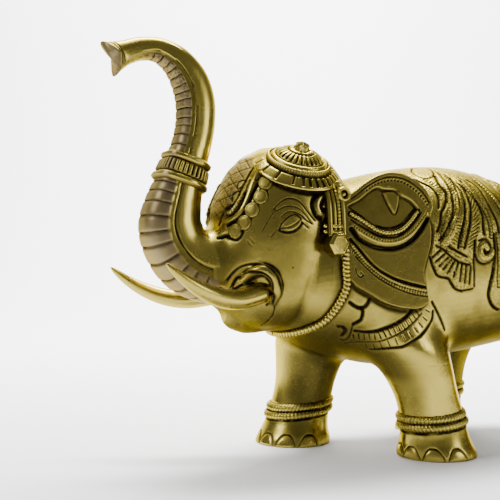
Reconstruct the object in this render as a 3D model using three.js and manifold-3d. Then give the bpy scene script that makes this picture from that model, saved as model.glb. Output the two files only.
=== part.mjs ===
// A cast brass elephant with raised trunk, in millimetres, +Z up, head towards -X.
// The tables give the pose in a working frame with the ground at z = 0 and the middle of
// the animal at y = 0. The finished solid is moved to the middle of its own footprint.
import * as THREE from "three";
import { mergeVertices } from "three/addons/utils/BufferGeometryUtils.js";
import Module from "manifold-3d";

const wasm = await Module();
wasm.setup();

// Height of the statue, and the height that the tables below are drawn for
const STATUE_HEIGHT = 236;
const DRAWN_HEIGHT = 236;

// Facets of the solids
const TORSO_SIDES = 20;
const TORSO_STEPS = 14;
const HEAD_SIDES = 18;
const HEAD_STEPS = 11;
const LEG_SIDES = 14;
const LEG_STEPS = 5;
const TRUNK_SIDES = 12;
const TUSK_SIDES = 8;
const DOME_SIDES = 24;
const CORD_SIDES = 5;
const EYE_SIDES = 10;
const EAR_STEPS = 11;
const CLOTH_STEPS = 15;
const SMALLEST_EDGE = 0.06;

// How square the sections are: 2 is an ellipse, more is squarer
const TORSO_SQUARE = 2.25;
const HEAD_SQUARE = 2.15;
const TRUNK_MOUTH_SQUARE = 3.4;
const TRUNK_BACK_SQUARE = 2.2;

// Brass
const BRASS_COLOUR = 0xa08c42;
const BRASS_ROUGHNESS = 0.32;

// Trunk carving, with places as shares of the trunk's length
const RUNG_PITCH = 5.6;
const RUNG_DEPTH = 0.9;
const RUNGS_FROM = 0.18;
const RUNGS_TO = 0.86;
const TIP_FROM = 0.955;
const COLLAR_AT = 0.47;
const COLLAR_HEIGHT = 17;
const COLLAR_PROUD = 2.2;
const COLLAR_FLUTE_DEPTH = 0.8;
const TIP_NOTCH = 2.6;
const TIP_HOLLOW = 3;

// Crown domes, one over each half of the head
const DOME_RADIUS = 25;
const DOME_HEIGHT = 17.6;
const DOME_LEAN = THREE.MathUtils.degToRad(29);
const DOME_SPREAD = 21;
const DOME_X = -84.5;
const DOME_BELOW_HEAD_TOP = 14;
const GADROON_DEPTH = 1.2;

// Tusks
const TUSK_THICKNESS = 11.5;
const RIGHT_TUSK_DROP = 3;

// Ears
const EAR_FRONT_Y = 43;
const EAR_SPREAD = 13;
const EAR_EDGE = 5;
const EAR_RIM = 2;
const EAR_RECESS = 2.2;
const EAR_CORD = 1;
const EAR_MIDDLE_Z = 125;
const EAR_LEAN_ABOVE = 0.16;
const EAR_LEAN_BELOW = 0.06;

// Eyes
const EYE_X = -97;
const EYE_Y = -38.4;
const EYE_Z = 138.8;
const EYE_LENGTH = 14;
const EYE_HEIGHT = 8.4;
const EYE_PROUD = 1.2;
const EYE_SLOPE = 0.25;
const EYE_TURN = 0.09;

// Tassels behind the cheeks
const STRAND_THICKNESS = 5.2;
const STRAND_GAP = 6;
const STRAND_TOP_Z = 162;
const STRAND_LENGTH = 30;
const TASSEL_X = -71.5;
const TASSEL_Y = -36;
const DROP_RADIUS = 6.8;
const DROP_Z = 127.6;
const DROP_BACK_Y = -34;
const DROP_FACE_Y = -47.6;
const DROP_BEVEL = 2.4;

// Anklets and feet
const ANKLET_CORD = 4.6;
const ANKLET_PROUD = 2.2;
const ANKLET_GROOVE = 0.9;
const FRONT_ANKLET_Z = 22.4;
const REAR_ANKLET_Z = 27;
const SOLE_RADIUS = 23.4;
const SLANT_BEND = 1.4;
const NAIL_ANGLES = [-88, -51, -15, 15, 51, 88];
const NAIL_WIDTH = 11;
const NAIL_HEIGHT = 7.4;
const NAIL_PROUD = 0.7;

// Dress on the body
const CLOTH_PROUD = 1.3;
const CLOTH_SINK = 4;
const CLOTH_FRONT_X = -34;
const CLOTH_BACK_X = 122;
const CLOTH_SCALLOP = 0.09;
const CLOTH_SCALLOPS = 5;
const CLOTH_TURN = 1.62;
const PLUME_PROUD = 1.1;
const PLUME_COUNT = 4;
const PLUME_GATHER = 1.5;
const PLUME_OPENING = 0.6;

// Tail
const TAIL_ROOT_RADIUS = 5;

// Lengthwise profile of the torso: height of back and belly and half the width
const TORSO = [
  { x: -102, top: 116, bottom: 86, half: 16 },
  { x: -88, top: 136, bottom: 77, half: 31 },
  { x: -72, top: 153, bottom: 69, half: 41 },
  { x: -52, top: 163, bottom: 62, half: 47 },
  { x: -26, top: 170, bottom: 56, half: 52 },
  { x: 0, top: 174.6, bottom: 56, half: 54 },
  { x: 26, top: 175.4, bottom: 60, half: 55 },
  { x: 52, top: 170, bottom: 64, half: 54 },
  { x: 78, top: 160, bottom: 68, half: 51 },
  { x: 102, top: 148, bottom: 70, half: 46 },
  { x: 122, top: 134, bottom: 76, half: 38 },
  { x: 137, top: 118, bottom: 88, half: 24 },
  { x: 143, top: 106, bottom: 98, half: 6 },
];

// Level sections of the head: foremost and hindmost point, widest place, half the width
const HEAD = [
  { z: 79, front: -107, back: -93, widest: -101, half: 8 },
  { z: 84, front: -115, back: -81, widest: -96, half: 24 },
  { z: 92, front: -121, back: -73, widest: -94, half: 32 },
  { z: 104, front: -124, back: -68, widest: -92, half: 36.5 },
  { z: 118, front: -126, back: -60, widest: -90, half: 38.5 },
  { z: 133, front: -126.5, back: -50, widest: -88, half: 39.5 },
  { z: 147, front: -125, back: -46, widest: -86, half: 39 },
  { z: 160, front: -119.5, back: -48, widest: -84, half: 37 },
  { z: 170, front: -113, back: -54, widest: -84, half: 33 },
  { z: 178, front: -105, back: -62, widest: -84, half: 25 },
  { z: 183, front: -97, back: -73, widest: -84, half: 12 },
];

// Middle line of the trunk from inside the face to the tip, half depth and half width
const TRUNK = [
  { x: -100, z: 118, deep: 19, wide: 22 },
  { x: -114, z: 115, deep: 20, wide: 22 },
  { x: -127, z: 114.5, deep: 20.5, wide: 20 },
  { x: -139.5, z: 118.5, deep: 19.5, wide: 17.5 },
  { x: -148, z: 127, deep: 18, wide: 15.6 },
  { x: -151.5, z: 138, deep: 17.6, wide: 14.6 },
  { x: -149.8, z: 150, deep: 15.6, wide: 13.8 },
  { x: -146.3, z: 161.5, deep: 13.4, wide: 12.6 },
  { x: -142.4, z: 173, deep: 11.6, wide: 11 },
  { x: -138.8, z: 184.5, deep: 11.1, wide: 10.1 },
  { x: -136.8, z: 196, deep: 11, wide: 10 },
  { x: -137, z: 208, deep: 11, wide: 10 },
  { x: -140.8, z: 219.5, deep: 10.4, wide: 9.4 },
  { x: -148.4, z: 229, deep: 8.6, wide: 8.6 },
  { x: -158.6, z: 234.2, deep: 6.8, wide: 7.8 },
  { x: -169, z: 234, deep: 6.5, wide: 7.4 },
  { x: -178, z: 231, deep: 7, wide: 7.6 },
  { x: -184.5, z: 228.2, deep: 8.8, wide: 8.4 },
  { x: -187.6, z: 226.8, deep: 10.2, wide: 8.6 },
];

// Legs from the sole up: middle and half sizes lengthwise and across
const FRONT_LEG = [
  { z: 5, x: 0.4, across: 0, long: 1.0, wide: 1.0 },
  { z: 9, x: 0, across: 0, long: 0.97, wide: 0.97 },
  { z: 14, x: -0.9, across: 0, long: 0.89, wide: 0.89 },
  { z: 21, x: -2, across: 0, long: 0.83, wide: 0.83 },
  { z: 33, x: -4.6, across: 0, long: 0.79, wide: 0.8 },
  { z: 44, x: -8.4, across: 0.5, long: 0.81, wide: 0.81 },
  { z: 56, x: -13.5, across: 1.5, long: 0.93, wide: 0.87 },
  { z: 70, x: -20, across: 4, long: 1.12, wide: 0.96 },
  { z: 86, x: -26, across: 9.5, long: 1.33, wide: 1.0 },
  { z: 104, x: -30, across: 15, long: 1.42, wide: 1.0 },
  { z: 124, x: -32, across: 20, long: 1.2, wide: 0.9 },
];
const REAR_LEG = [
  { z: 5, x: 0, across: 0, long: 1.0, wide: 1.0 },
  { z: 9, x: 0, across: 0, long: 0.97, wide: 0.97 },
  { z: 15, x: -0.5, across: 0, long: 0.89, wide: 0.89 },
  { z: 26, x: 0, across: 0, long: 0.83, wide: 0.83 },
  { z: 38, x: 0.5, across: 0, long: 0.82, wide: 0.82 },
  { z: 50, x: 0, across: 1, long: 0.87, wide: 0.85 },
  { z: 62, x: 0, across: 3, long: 1.0, wide: 0.94 },
  { z: 80, x: 2, across: 7, long: 1.4, wide: 1.15 },
  { z: 102, x: 6, across: 12, long: 1.62, wide: 1.25 },
  { z: 122, x: 10, across: 18, long: 1.3, wide: 1.05 },
];

// Where each foot stands and how far its leg slants back to the body
const FEET = [
  { rows: FRONT_LEG, x: 0, y: -36, slant: 0, anklet: FRONT_ANKLET_Z },
  { rows: FRONT_LEG, x: -58.5, y: 36, slant: 80, anklet: FRONT_ANKLET_Z },
  { rows: REAR_LEG, x: 47, y: 36, slant: 14, anklet: REAR_ANKLET_Z },
  { rows: REAR_LEG, x: 108, y: -36, slant: -20, anklet: REAR_ANKLET_Z },
];

// Ear outline and its carved lines, as heights over a lengthwise place
const EAR = [
  {
    x: -68, top: 151, recessTop: 146.5, recessEnd: 146, bead: 144,
    panel: 134, hem: 131, low: 122, bottom: 114,
  },
  {
    x: -60, top: 156, recessTop: 149.8, recessEnd: 147, bead: 144.6,
    panel: 127, hem: 123, low: 114, bottom: 103,
  },
  {
    x: -53, top: 161, recessTop: 155, recessEnd: 140, bead: 138.5,
    panel: 117.5, hem: 114, low: 106.5, bottom: 98.7,
  },
  {
    x: -45, top: 165.5, recessTop: 158.8, recessEnd: 136.3, bead: 135,
    panel: 111, hem: 108, low: 101.8, bottom: 95.2,
  },
  {
    x: -37, top: 167.2, recessTop: 158, recessEnd: 137, bead: 135,
    panel: 107.5, hem: 104.6, low: 98.5, bottom: 93,
  },
  {
    x: -30, top: 166.2, recessTop: 153.3, recessEnd: 142.3, bead: 139,
    panel: 105.5, hem: 102.5, low: 96.3, bottom: 92,
  },
  {
    x: -23, top: 162, recessTop: 147, recessEnd: 146.5, bead: 145,
    panel: 104, hem: 101, low: 95.2, bottom: 93.2,
  },
  {
    x: -16, top: 151.5, recessTop: 150, recessEnd: 149.5, bead: 148.5,
    panel: 145, hem: 144, low: 143, bottom: 141.5,
  },
];

// Tusk, left side: middle line and share of the full thickness
const TUSK = [
  { x: -104, y: -27, z: 103, size: 1 },
  { x: -114, y: -31.5, z: 100.5, size: 1 },
  { x: -127, y: -36.5, z: 98.2, size: 0.96 },
  { x: -139, y: -41, z: 99.4, size: 0.88 },
  { x: -150, y: -44.5, z: 103.2, size: 0.76 },
  { x: -160, y: -46.5, z: 108.6, size: 0.56 },
  { x: -168, y: -47.4, z: 114.4, size: 0.32 },
  { x: -171.5, y: -47.6, z: 117.4, size: 0.1 },
];

// Lower lip, from inside the jaw to its tip
const LIP = [
  { x: -96, y: 0, z: 92, size: 13 },
  { x: -106, y: 0, z: 88, size: 11 },
  { x: -114, y: 0, z: 86.5, size: 7.5 },
  { x: -119.5, y: 0, z: 87.5, size: 3.5 },
];

// Fold of skin around the left tusk socket
const SOCKET_FOLD = [
  { x: -121, y: -27, z: 107, size: 2.4 },
  { x: -116, y: -31, z: 112, size: 3.2 },
  { x: -109, y: -35, z: 113, size: 3.6 },
  { x: -102.5, y: -37, z: 108, size: 3.6 },
  { x: -100.5, y: -36.5, z: 101, size: 3.4 },
  { x: -103, y: -34.5, z: 94, size: 2.8 },
];

// Rope collar at the throat, left half, with its radius
const THROAT_ROPE = [
  { x: -66, y: -41, z: 122, size: 2.5 },
  { x: -65.6, y: -43, z: 113, size: 2.5 },
  { x: -65.2, y: -42.8, z: 104, size: 2.5 },
  { x: -69, y: -38.8, z: 93, size: 2.5 },
  { x: -74.5, y: -31.5, z: 84, size: 2.5 },
  { x: -83, y: -18, z: 78.5, size: 2.5 },
  { x: -87, y: 0, z: 77, size: 2.5 },
];

// Bands across the chest, left half
const CHEST_BANDS = [
  [
    { x: -23, y: -49.5, z: 90.5, size: 2.2 },
    { x: -31.5, y: -50, z: 84, size: 2.2 },
    { x: -41.5, y: -46.5, z: 78.5, size: 2.2 },
    { x: -50, y: -39, z: 75.5, size: 2.2 },
    { x: -60, y: -22, z: 70, size: 2.2 },
    { x: -64, y: 0, z: 67, size: 2.2 },
  ],
  [
    { x: -16.5, y: -49, z: 90, size: 2 },
    { x: -23, y: -50.5, z: 82, size: 2 },
    { x: -35, y: -49.5, z: 75, size: 2 },
    { x: -43, y: -42, z: 70, size: 2 },
    { x: -50, y: -24, z: 64.5, size: 2 },
    { x: -53, y: 0, z: 62.5, size: 2 },
  ],
];

const TAIL = [
  { x: 122, y: 0, z: 120, size: 1 },
  { x: 137, y: 0, z: 119, size: 1 },
  { x: 147, y: 1, z: 110, size: 0.9 },
  { x: 150, y: 3, z: 93, size: 0.75 },
  { x: 148, y: 6, z: 75, size: 0.7 },
  { x: 146, y: 8, z: 62, size: 1.1 },
  { x: 144.5, y: 9, z: 52, size: 1.0 },
  { x: 143, y: 9, z: 43, size: 0.3 },
];

// Reads a table smoothly at place t, from 0 at its first row to 1 at its last.
function rowAt(table, t) {
  const last = table.length - 1;
  const at = Math.min(Math.max(t, 0), 1) * last;
  const i = Math.min(Math.floor(at), last - 1);
  const f = at - i;
  const row = {};
  for (const key of Object.keys(table[0])) {
    const p1 = table[i][key];
    const p2 = table[i + 1][key];
    const p0 = i > 0 ? table[i - 1][key] : 2 * p1 - p2;
    const p3 = i + 2 <= last ? table[i + 2][key] : 2 * p2 - p1;
    const bend = f * (2 * p0 - 5 * p1 + 4 * p2 - p3 + f * (3 * (p1 - p2) + p3 - p0));
    row[key] = p1 + 0.5 * f * (p2 - p0 + bend);
  }
  return row;
}

// Reads a table smoothly where one of its columns has a given value.
function rowWhere(table, key, value) {
  let low = 0;
  let high = 1;
  const rising = table[table.length - 1][key] > table[0][key];
  for (let turn = 0; turn < 40; turn += 1) {
    const middle = (low + high) / 2;
    const under = rowAt(table, middle)[key] < value;
    if (under === rising) low = middle;
    else high = middle;
  }
  return rowAt(table, (low + high) / 2);
}

// One direction around a rounded square: 2 is an ellipse, more is squarer.
function around(turn, square) {
  const c = Math.cos(turn);
  const s = Math.sin(turn);
  return {
    c: Math.sign(c) * Math.abs(c) ** (2 / square),
    s: Math.sign(s) * Math.abs(s) ** (2 / square),
  };
}

function range(count) {
  return Array.from({ length: count }, (_, i) => i);
}

// Signed volume of an indexed mesh; it is below zero when the faces point inwards.
function signedVolume(positions, faces) {
  const a = new THREE.Vector3();
  const b = new THREE.Vector3();
  const c = new THREE.Vector3();
  let sum = 0;
  for (let i = 0; i < faces.length; i += 3) {
    a.fromArray(positions, 3 * faces[i]);
    b.fromArray(positions, 3 * faces[i + 1]);
    c.fromArray(positions, 3 * faces[i + 2]);
    sum += a.dot(b.cross(c));
  }
  return sum / 6;
}

// A solid from a positions list and a faces list, turned outwards if needed.
function solidOf(positions, faces) {
  const geometry = new THREE.BufferGeometry();
  geometry.setAttribute("position", new THREE.Float32BufferAttribute(positions, 3));
  geometry.setIndex(faces);
  const merged = mergeVertices(geometry);
  const vertProperties = new Float32Array(merged.attributes.position.array);
  const triVerts = new Uint32Array(merged.index.array);
  if (signedVolume(vertProperties, triVerts) < 0) triVerts.reverse();
  return new wasm.Manifold(new wasm.Mesh({ numProp: 3, vertProperties, triVerts }));
}

// A closed solid through rings of equally many points. Each end is a fan about its middle,
// which can be given where the end isn't flat.
function loft(rings, firstMiddle, lastMiddle) {
  const sides = rings[0].length;
  const points = rings.flat();
  const faces = [];
  for (let r = 0; r + 1 < rings.length; r += 1) {
    for (let s = 0; s < sides; s += 1) {
      const next = (s + 1) % sides;
      const a = r * sides + s;
      const b = r * sides + next;
      faces.push(a, b, b + sides, a, b + sides, a + sides);
    }
  }
  const middleOf = (ring) => {
    const sum = ring.reduce((total, point) => total.add(point), new THREE.Vector3());
    return sum.divideScalar(ring.length);
  };
  const start = points.length;
  points.push(firstMiddle ?? middleOf(rings[0]));
  points.push(lastMiddle ?? middleOf(rings[rings.length - 1]));
  const lastRing = (rings.length - 1) * sides;
  for (let s = 0; s < sides; s += 1) {
    const next = (s + 1) % sides;
    faces.push(start, next, s);
    faces.push(start + 1, lastRing + s, lastRing + next);
  }
  return solidOf(points.flatMap((point) => point.toArray()), faces);
}

// The same solid on the other side of the animal.
function mirrored(solid) {
  return solid.mirror([0, 1, 0]);
}

function both(solid) {
  return solid.add(mirrored(solid));
}

// A round bar along a table of x, y, z and size, where size is its radius over scale.
function bar(table, steps, sides, scale) {
  const rows = range(steps + 1).map((i) => rowAt(table, i / steps));
  const middles = rows.map((row) => new THREE.Vector3(row.x, row.y, row.z));
  const rings = rows.map((row, i) => {
    const ahead = middles[Math.min(i + 1, steps)].clone().sub(middles[Math.max(i - 1, 0)]);
    const across = new THREE.Vector3(0, 1, 0).cross(ahead).normalize();
    const third = ahead.clone().cross(across).normalize();
    return range(sides).map((s) => {
      const turn = (2 * Math.PI * (s + 0.5)) / sides;
      return middles[i].clone()
        .addScaledVector(across, Math.cos(turn) * row.size * scale)
        .addScaledVector(third, Math.sin(turn) * row.size * scale);
    });
  });
  return loft(rings);
}

// Outline of the torso at one lengthwise place; turn 0 is the back.
function torsoPoint(x, turn, proud) {
  const row = rowWhere(TORSO, "x", x);
  const { c, s } = around(turn, TORSO_SQUARE);
  const tall = (row.top - row.bottom) / 2 + proud;
  const wide = row.half + proud;
  return new THREE.Vector3(x, wide * s, (row.top + row.bottom) / 2 + tall * c);
}

function torso() {
  const rings = range(TORSO_STEPS + 1).map((i) => {
    const row = rowAt(TORSO, i / TORSO_STEPS);
    return range(TORSO_SIDES).map((s) => torsoPoint(row.x, (2 * Math.PI * s) / TORSO_SIDES, 0));
  });
  return loft(rings);
}

function head() {
  const rings = range(HEAD_STEPS + 1).map((i) => {
    const row = rowAt(HEAD, i / HEAD_STEPS);
    return range(HEAD_SIDES).map((side) => {
      const { c, s } = around((2 * Math.PI * side) / HEAD_SIDES, HEAD_SQUARE);
      const reach = c < 0 ? row.widest - row.front : row.back - row.widest;
      return new THREE.Vector3(row.widest + reach * c, row.half * s, row.z);
    });
  });
  return loft(rings);
}

// Places along the trunk's middle line with its direction and its mouth side.
const trunkPath = new THREE.CatmullRomCurve3(
  TRUNK.map((row) => new THREE.Vector3(row.x, 0, row.z)),
);
const trunkLength = trunkPath.getLength();

function trunkFrame(share) {
  const t = trunkPath.getUtoTmapping(share);
  const row = rowAt(TRUNK, t);
  const ahead = trunkPath.getTangent(t);
  const mouthSide = new THREE.Vector3(-ahead.z, 0, ahead.x);
  return { row, ahead, mouthSide, middle: trunkPath.getPoint(t) };
}

// One ring of the trunk: flat on the mouth side, round on the other, cut by a rung groove.
function trunkRing(share, proud, cut, fluted, sides) {
  const { row, ahead, mouthSide, middle } = trunkFrame(share);
  const end = THREE.MathUtils.smoothstep(share, TIP_FROM, 1);
  return range(sides).map((side) => {
    const turn = (2 * Math.PI * (side + 0.5)) / sides;
    const square = Math.cos(turn) > 0 ? TRUNK_MOUTH_SQUARE : TRUNK_BACK_SQUARE;
    const { c, s } = around(turn, square);
    const flute = fluted && side % 2 === 0 ? COLLAR_FLUTE_DEPTH : 0;
    const flat = c > 0.6 ? cut : 0;
    return middle.clone()
      .addScaledVector(mouthSide, c * (row.deep + proud - flute) - flat)
      .add(new THREE.Vector3(0, s * (row.wide + proud - flute), 0))
      .addScaledVector(ahead, -TIP_NOTCH * end * s * s);
  });
}

function trunk() {
  const collarHalf = COLLAR_HEIGHT / 2 / trunkLength;
  const steps = Math.round(trunkLength / RUNG_PITCH);
  const rings = [];
  for (let i = 0; i <= steps; i += 1) {
    const share = i / steps;
    const inCollar = Math.abs(share - COLLAR_AT) < collarHalf;
    const rungs = share > RUNGS_FROM && share < RUNGS_TO && !inCollar;
    rings.push(trunkRing(share, 0, 0, false, TRUNK_SIDES));
    if (rungs) rings.push(trunkRing(share + 0.5 / steps, 0, RUNG_DEPTH, false, TRUNK_SIDES));
  }
  const tip = trunkFrame(1);
  const hollow = tip.middle.clone().addScaledVector(tip.ahead, -TIP_NOTCH - TIP_HOLLOW);
  return loft(rings, undefined, hollow);
}

// The trunk's collar: a plain ring, a fluted band and a plain ring.
function trunkCollar() {
  const profile = [
    { at: -0.52, proud: -2, fluted: false },
    { at: -0.5, proud: 0.2, fluted: false },
    { at: -0.4, proud: 1, fluted: false },
    { at: -0.22, proud: 0.35, fluted: false },
    { at: -0.14, proud: 0.9, fluted: true },
    { at: 0.14, proud: 0.95, fluted: true },
    { at: 0.22, proud: 0.4, fluted: false },
    { at: 0.36, proud: 1.1, fluted: false },
    { at: 0.5, proud: 0.2, fluted: false },
    { at: 0.52, proud: -2, fluted: false },
  ];
  const reach = COLLAR_HEIGHT / trunkLength;
  const rings = profile.map(({ at, proud, fluted }) => {
    const share = COLLAR_AT + at * reach;
    return trunkRing(share, proud * COLLAR_PROUD, 0, fluted, 2 * TRUNK_SIDES);
  });
  return loft(rings);
}

// A crown dome turned on its own axis: gadroon band, beads, plain ring, flutes and knob.
function dome() {
  const r = DOME_RADIUS;
  const h = DOME_HEIGHT;
  const profile = [
    [0.001, -0.35 * h, 0],
    [0.9 * r, -0.3 * h, 0],
    [0.98 * r, -0.12 * h, 0],
    [r, 0.02 * h, 1],
    [0.84 * r, 0.22 * h, 1],
    [0.78 * r, 0.26 * h, 0],
    [0.72 * r, 0.38 * h, 0],
    [0.56 * r, 0.48 * h, 0],
    [0.46 * r, 0.62 * h, 1],
    [0.26 * r, 0.74 * h, 1],
    [0.17 * r, 0.8 * h, 0],
    [0.15 * r, 0.93 * h, 0],
    [0.001, h, 0],
  ];
  const axis = new THREE.Vector3(0, -Math.sin(DOME_LEAN), Math.cos(DOME_LEAN));
  const forward = new THREE.Vector3(1, 0, 0);
  const aside = axis.clone().cross(forward);
  const headTop = HEAD[HEAD.length - 1].z;
  const base = new THREE.Vector3(DOME_X, -DOME_SPREAD, headTop - DOME_BELOW_HEAD_TOP);
  const rings = profile.slice(1, -1).map(([radius, up, carved]) => range(DOME_SIDES).map((s) => {
    const turn = (2 * Math.PI * s) / DOME_SIDES;
    const cut = carved && s % 2 === 0 ? GADROON_DEPTH : 0;
    return base.clone()
      .addScaledVector(axis, up - 0.5 * cut)
      .addScaledVector(forward, Math.cos(turn) * (radius - 0.5 * cut))
      .addScaledVector(aside, Math.sin(turn) * (radius - 0.5 * cut));
  }));
  const bottom = base.clone().addScaledVector(axis, profile[0][1]);
  const top = base.clone().addScaledVector(axis, h);
  return loft(rings, bottom, top);
}

// One leg on its foot, with two anklet cords laid around it.
function leg({ rows, x, y, slant, anklet }) {
  const inward = -Math.sign(y);
  const top = rows[rows.length - 1].z;
  const ringAt = (z, proud, wavy) => {
    const row = rowWhere(rows, "z", z);
    const lean = slant * (z / top) ** SLANT_BEND;
    return range(LEG_SIDES).map((s) => {
      const turn = (2 * Math.PI * s) / LEG_SIDES;
      const dent = wavy && s % 2 === 0 ? ANKLET_GROOVE : 0;
      return new THREE.Vector3(
        x + row.x + lean + Math.cos(turn) * (row.long * SOLE_RADIUS + proud - dent),
        y + inward * row.across + Math.sin(turn) * (row.wide * SOLE_RADIUS + proud - dent),
        z,
      );
    });
  };
  const rings = [rows[0].z, rows[1].z, rows[2].z, anklet - 1.5].map((z) => ringAt(z, 0, false));
  for (const cord of [0, 1]) {
    const low = anklet + cord * ANKLET_CORD;
    rings.push(ringAt(low + 0.08 * ANKLET_CORD, 0.3 * ANKLET_PROUD, false));
    rings.push(ringAt(low + 0.54 * ANKLET_CORD, ANKLET_PROUD, true));
  }
  const above = anklet + 2 * ANKLET_CORD + 1;
  for (const i of range(LEG_STEPS + 1)) {
    rings.push(ringAt(above + ((top - above) * i) / LEG_STEPS, 0, false));
  }
  return loft(rings);
}

// Pointed toenails, low on the front of a foot.
function nails({ rows, x, y }) {
  return NAIL_ANGLES.map((degrees) => {
    const turn = THREE.MathUtils.degToRad(180 + degrees);
    const outline = [[-0.5, 0], [0.5, 0], [0.5, 0.45], [0, 1], [-0.5, 0.45]];
    const ringAt = (proud) => outline.map(([side, up]) => {
      const z = rows[0].z + up * NAIL_HEIGHT + 0.6;
      const row = rowWhere(rows, "z", z);
      const radius = row.long * SOLE_RADIUS + proud;
      const here = turn + (side * NAIL_WIDTH) / SOLE_RADIUS;
      return new THREE.Vector3(x + row.x + Math.cos(here) * radius, y + Math.sin(here) * radius, z);
    });
    return loft([ringAt(-3), ringAt(NAIL_PROUD)]);
  });
}

// How far out the left ear's face lies at a place on it.
function earFace(x, z) {
  const back = (x - EAR[0].x) / (EAR[EAR.length - 1].x - EAR[0].x);
  const lean = z > EAR_MIDDLE_Z ? EAR_LEAN_ABOVE : EAR_LEAN_BELOW;
  return -(EAR_FRONT_Y + EAR_SPREAD * Math.max(back, 0) ** 0.8) + lean * (z - EAR_MIDDLE_Z);
}

// An upright section of the ear: rim, sunk field, two beads, smooth panel, bead and hem.
function earRing(row) {
  const gap = (row.bead - row.panel) / 8;
  const face = [
    [row.top, 0],
    [row.top - 0.8, EAR_RIM],
    [row.recessTop + 0.6, EAR_RIM],
    [row.recessTop, -EAR_RECESS],
    [row.recessEnd, -EAR_RECESS],
    [row.bead, EAR_CORD],
    [row.bead - gap, EAR_CORD],
    [row.bead - 1.3 * gap, 0],
    [row.bead - 1.6 * gap, EAR_CORD],
    [row.bead - 2.4 * gap, EAR_CORD],
    [row.bead - 2.7 * gap, -0.6],
    [row.panel, -0.4],
    [row.hem + 0.5, EAR_CORD],
    [row.hem - 1.5, EAR_CORD],
    [row.low, 0.6],
    [(row.low + row.bottom) / 2, EAR_RIM],
    [row.bottom, 0],
  ];
  const outer = face.map(([z, proud]) => new THREE.Vector3(row.x, earFace(row.x, z) - proud, z));
  const height = row.top - row.bottom;
  const inner = [0.04, 0.3, 0.65, 1].map((share) => {
    const z = row.bottom + 0.5 + share * (height - 1);
    const deep = EAR_EDGE + 0.55 * (row.top - z);
    return new THREE.Vector3(row.x, Math.min(earFace(row.x, z) + deep, -8), z);
  });
  return [...outer, ...inner];
}

function ear() {
  const rings = range(EAR_STEPS + 1).map((i) => earRing(rowAt(EAR, i / EAR_STEPS)));
  const rear = rings[EAR_STEPS];
  const middle = rear.reduce((sum, p) => sum.add(p), new THREE.Vector3()).divideScalar(rear.length);
  middle.x += 2;
  return loft(rings, undefined, middle);
}

// A patch of saddle cloth over the back, scalloped along its lower edges. Its lengthwise
// lines are plume ribs, close together at the shoulder and fanning out to the rear.
function cloth() {
  const lines = 4 * PLUME_COUNT;
  const sheet = (proud, rib) => range(CLOTH_STEPS + 1).map((i) => {
    const share = i / CLOTH_STEPS;
    const x = CLOTH_FRONT_X + share * (CLOTH_BACK_X - CLOTH_FRONT_X);
    const wave = Math.abs(Math.sin(share * CLOTH_SCALLOPS * Math.PI));
    const reach = CLOTH_TURN + wave * CLOTH_SCALLOP;
    const crowding = PLUME_GATHER - PLUME_OPENING * share;
    return range(lines + 1).map((j) => {
      const side = (2 * j) / lines - 1;
      const turn = Math.sign(side) * Math.abs(side) ** crowding * reach;
      const ridge = j % 2 === 1 && share > 0 && share < 1 ? rib : 0;
      return torsoPoint(x, turn, proud + ridge);
    });
  });
  const outer = sheet(CLOTH_PROUD, PLUME_PROUD);
  const inner = sheet(-CLOTH_SINK, 0);
  const rings = outer.map((line, i) => [...line, ...inner[i].reverse()]);
  return loft(rings);
}

// Almond eye, a low lens on the side of the head.
function eye() {
  const outline = (size, proud) => range(EYE_SIDES).map((s) => {
    const turn = (2 * Math.PI * s) / EYE_SIDES;
    const along = Math.cos(turn) * 0.5 * EYE_LENGTH * size;
    const pointed = 1 - 0.35 * Math.abs(Math.cos(turn));
    const up = Math.sin(turn) * 0.5 * EYE_HEIGHT * size * pointed + along * EYE_SLOPE;
    return new THREE.Vector3(EYE_X + along, EYE_Y - proud - along * EYE_TURN, EYE_Z + up);
  });
  return loft([outline(1.05, -4), outline(1, 0.3 * EYE_PROUD), outline(0.6, EYE_PROUD)]);
}

// Tassel behind the cheek: two strands ending in a six-sided drop.
function tassel() {
  const size = STRAND_THICKNESS / 2;
  const strand = (x) => bar([
    { x, y: TASSEL_Y, z: STRAND_TOP_Z, size },
    { x: x + 0.5, y: TASSEL_Y - 4, z: STRAND_TOP_Z - 0.4 * STRAND_LENGTH, size },
    { x: x + 0.5, y: TASSEL_Y - 6, z: STRAND_TOP_Z - STRAND_LENGTH, size },
  ], 4, CORD_SIDES, 1);
  const drop = (y, radius) => range(6).map((s) => {
    const turn = (Math.PI * s) / 3;
    const x = TASSEL_X + 0.5 + radius * Math.cos(turn);
    return new THREE.Vector3(x, y, DROP_Z + radius * Math.sin(turn));
  });
  const rings = [
    drop(DROP_BACK_Y, DROP_RADIUS),
    drop(DROP_FACE_Y + 0.6 * DROP_BEVEL, DROP_RADIUS),
    drop(DROP_FACE_Y, DROP_RADIUS - DROP_BEVEL),
  ];
  const strands = strand(TASSEL_X - STRAND_GAP / 2).add(strand(TASSEL_X + STRAND_GAP / 2));
  return strands.add(loft(rings));
}

function elephant() {
  const parts = [torso(), head(), trunk(), trunkCollar(), cloth()];
  const tusk = bar(TUSK, 8, TUSK_SIDES, TUSK_THICKNESS / 2);
  parts.push(tusk, mirrored(tusk).translate([0, 0, -RIGHT_TUSK_DROP]), both(dome()), both(ear()));
  parts.push(bar(LIP, 5, 12, 1), both(bar(SOCKET_FOLD, 8, CORD_SIDES, 1)));
  parts.push(bar(TAIL, 10, 8, TAIL_ROOT_RADIUS));
  parts.push(both(eye()), both(tassel()), both(bar(THROAT_ROPE, 10, CORD_SIDES, 1)));
  for (const band of CHEST_BANDS) parts.push(both(bar(band, 8, CORD_SIDES, 1)));
  for (const foot of FEET) parts.push(leg(foot), ...nails(foot));
  return parts.reduce((whole, piece) => whole.add(piece));
}

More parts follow.
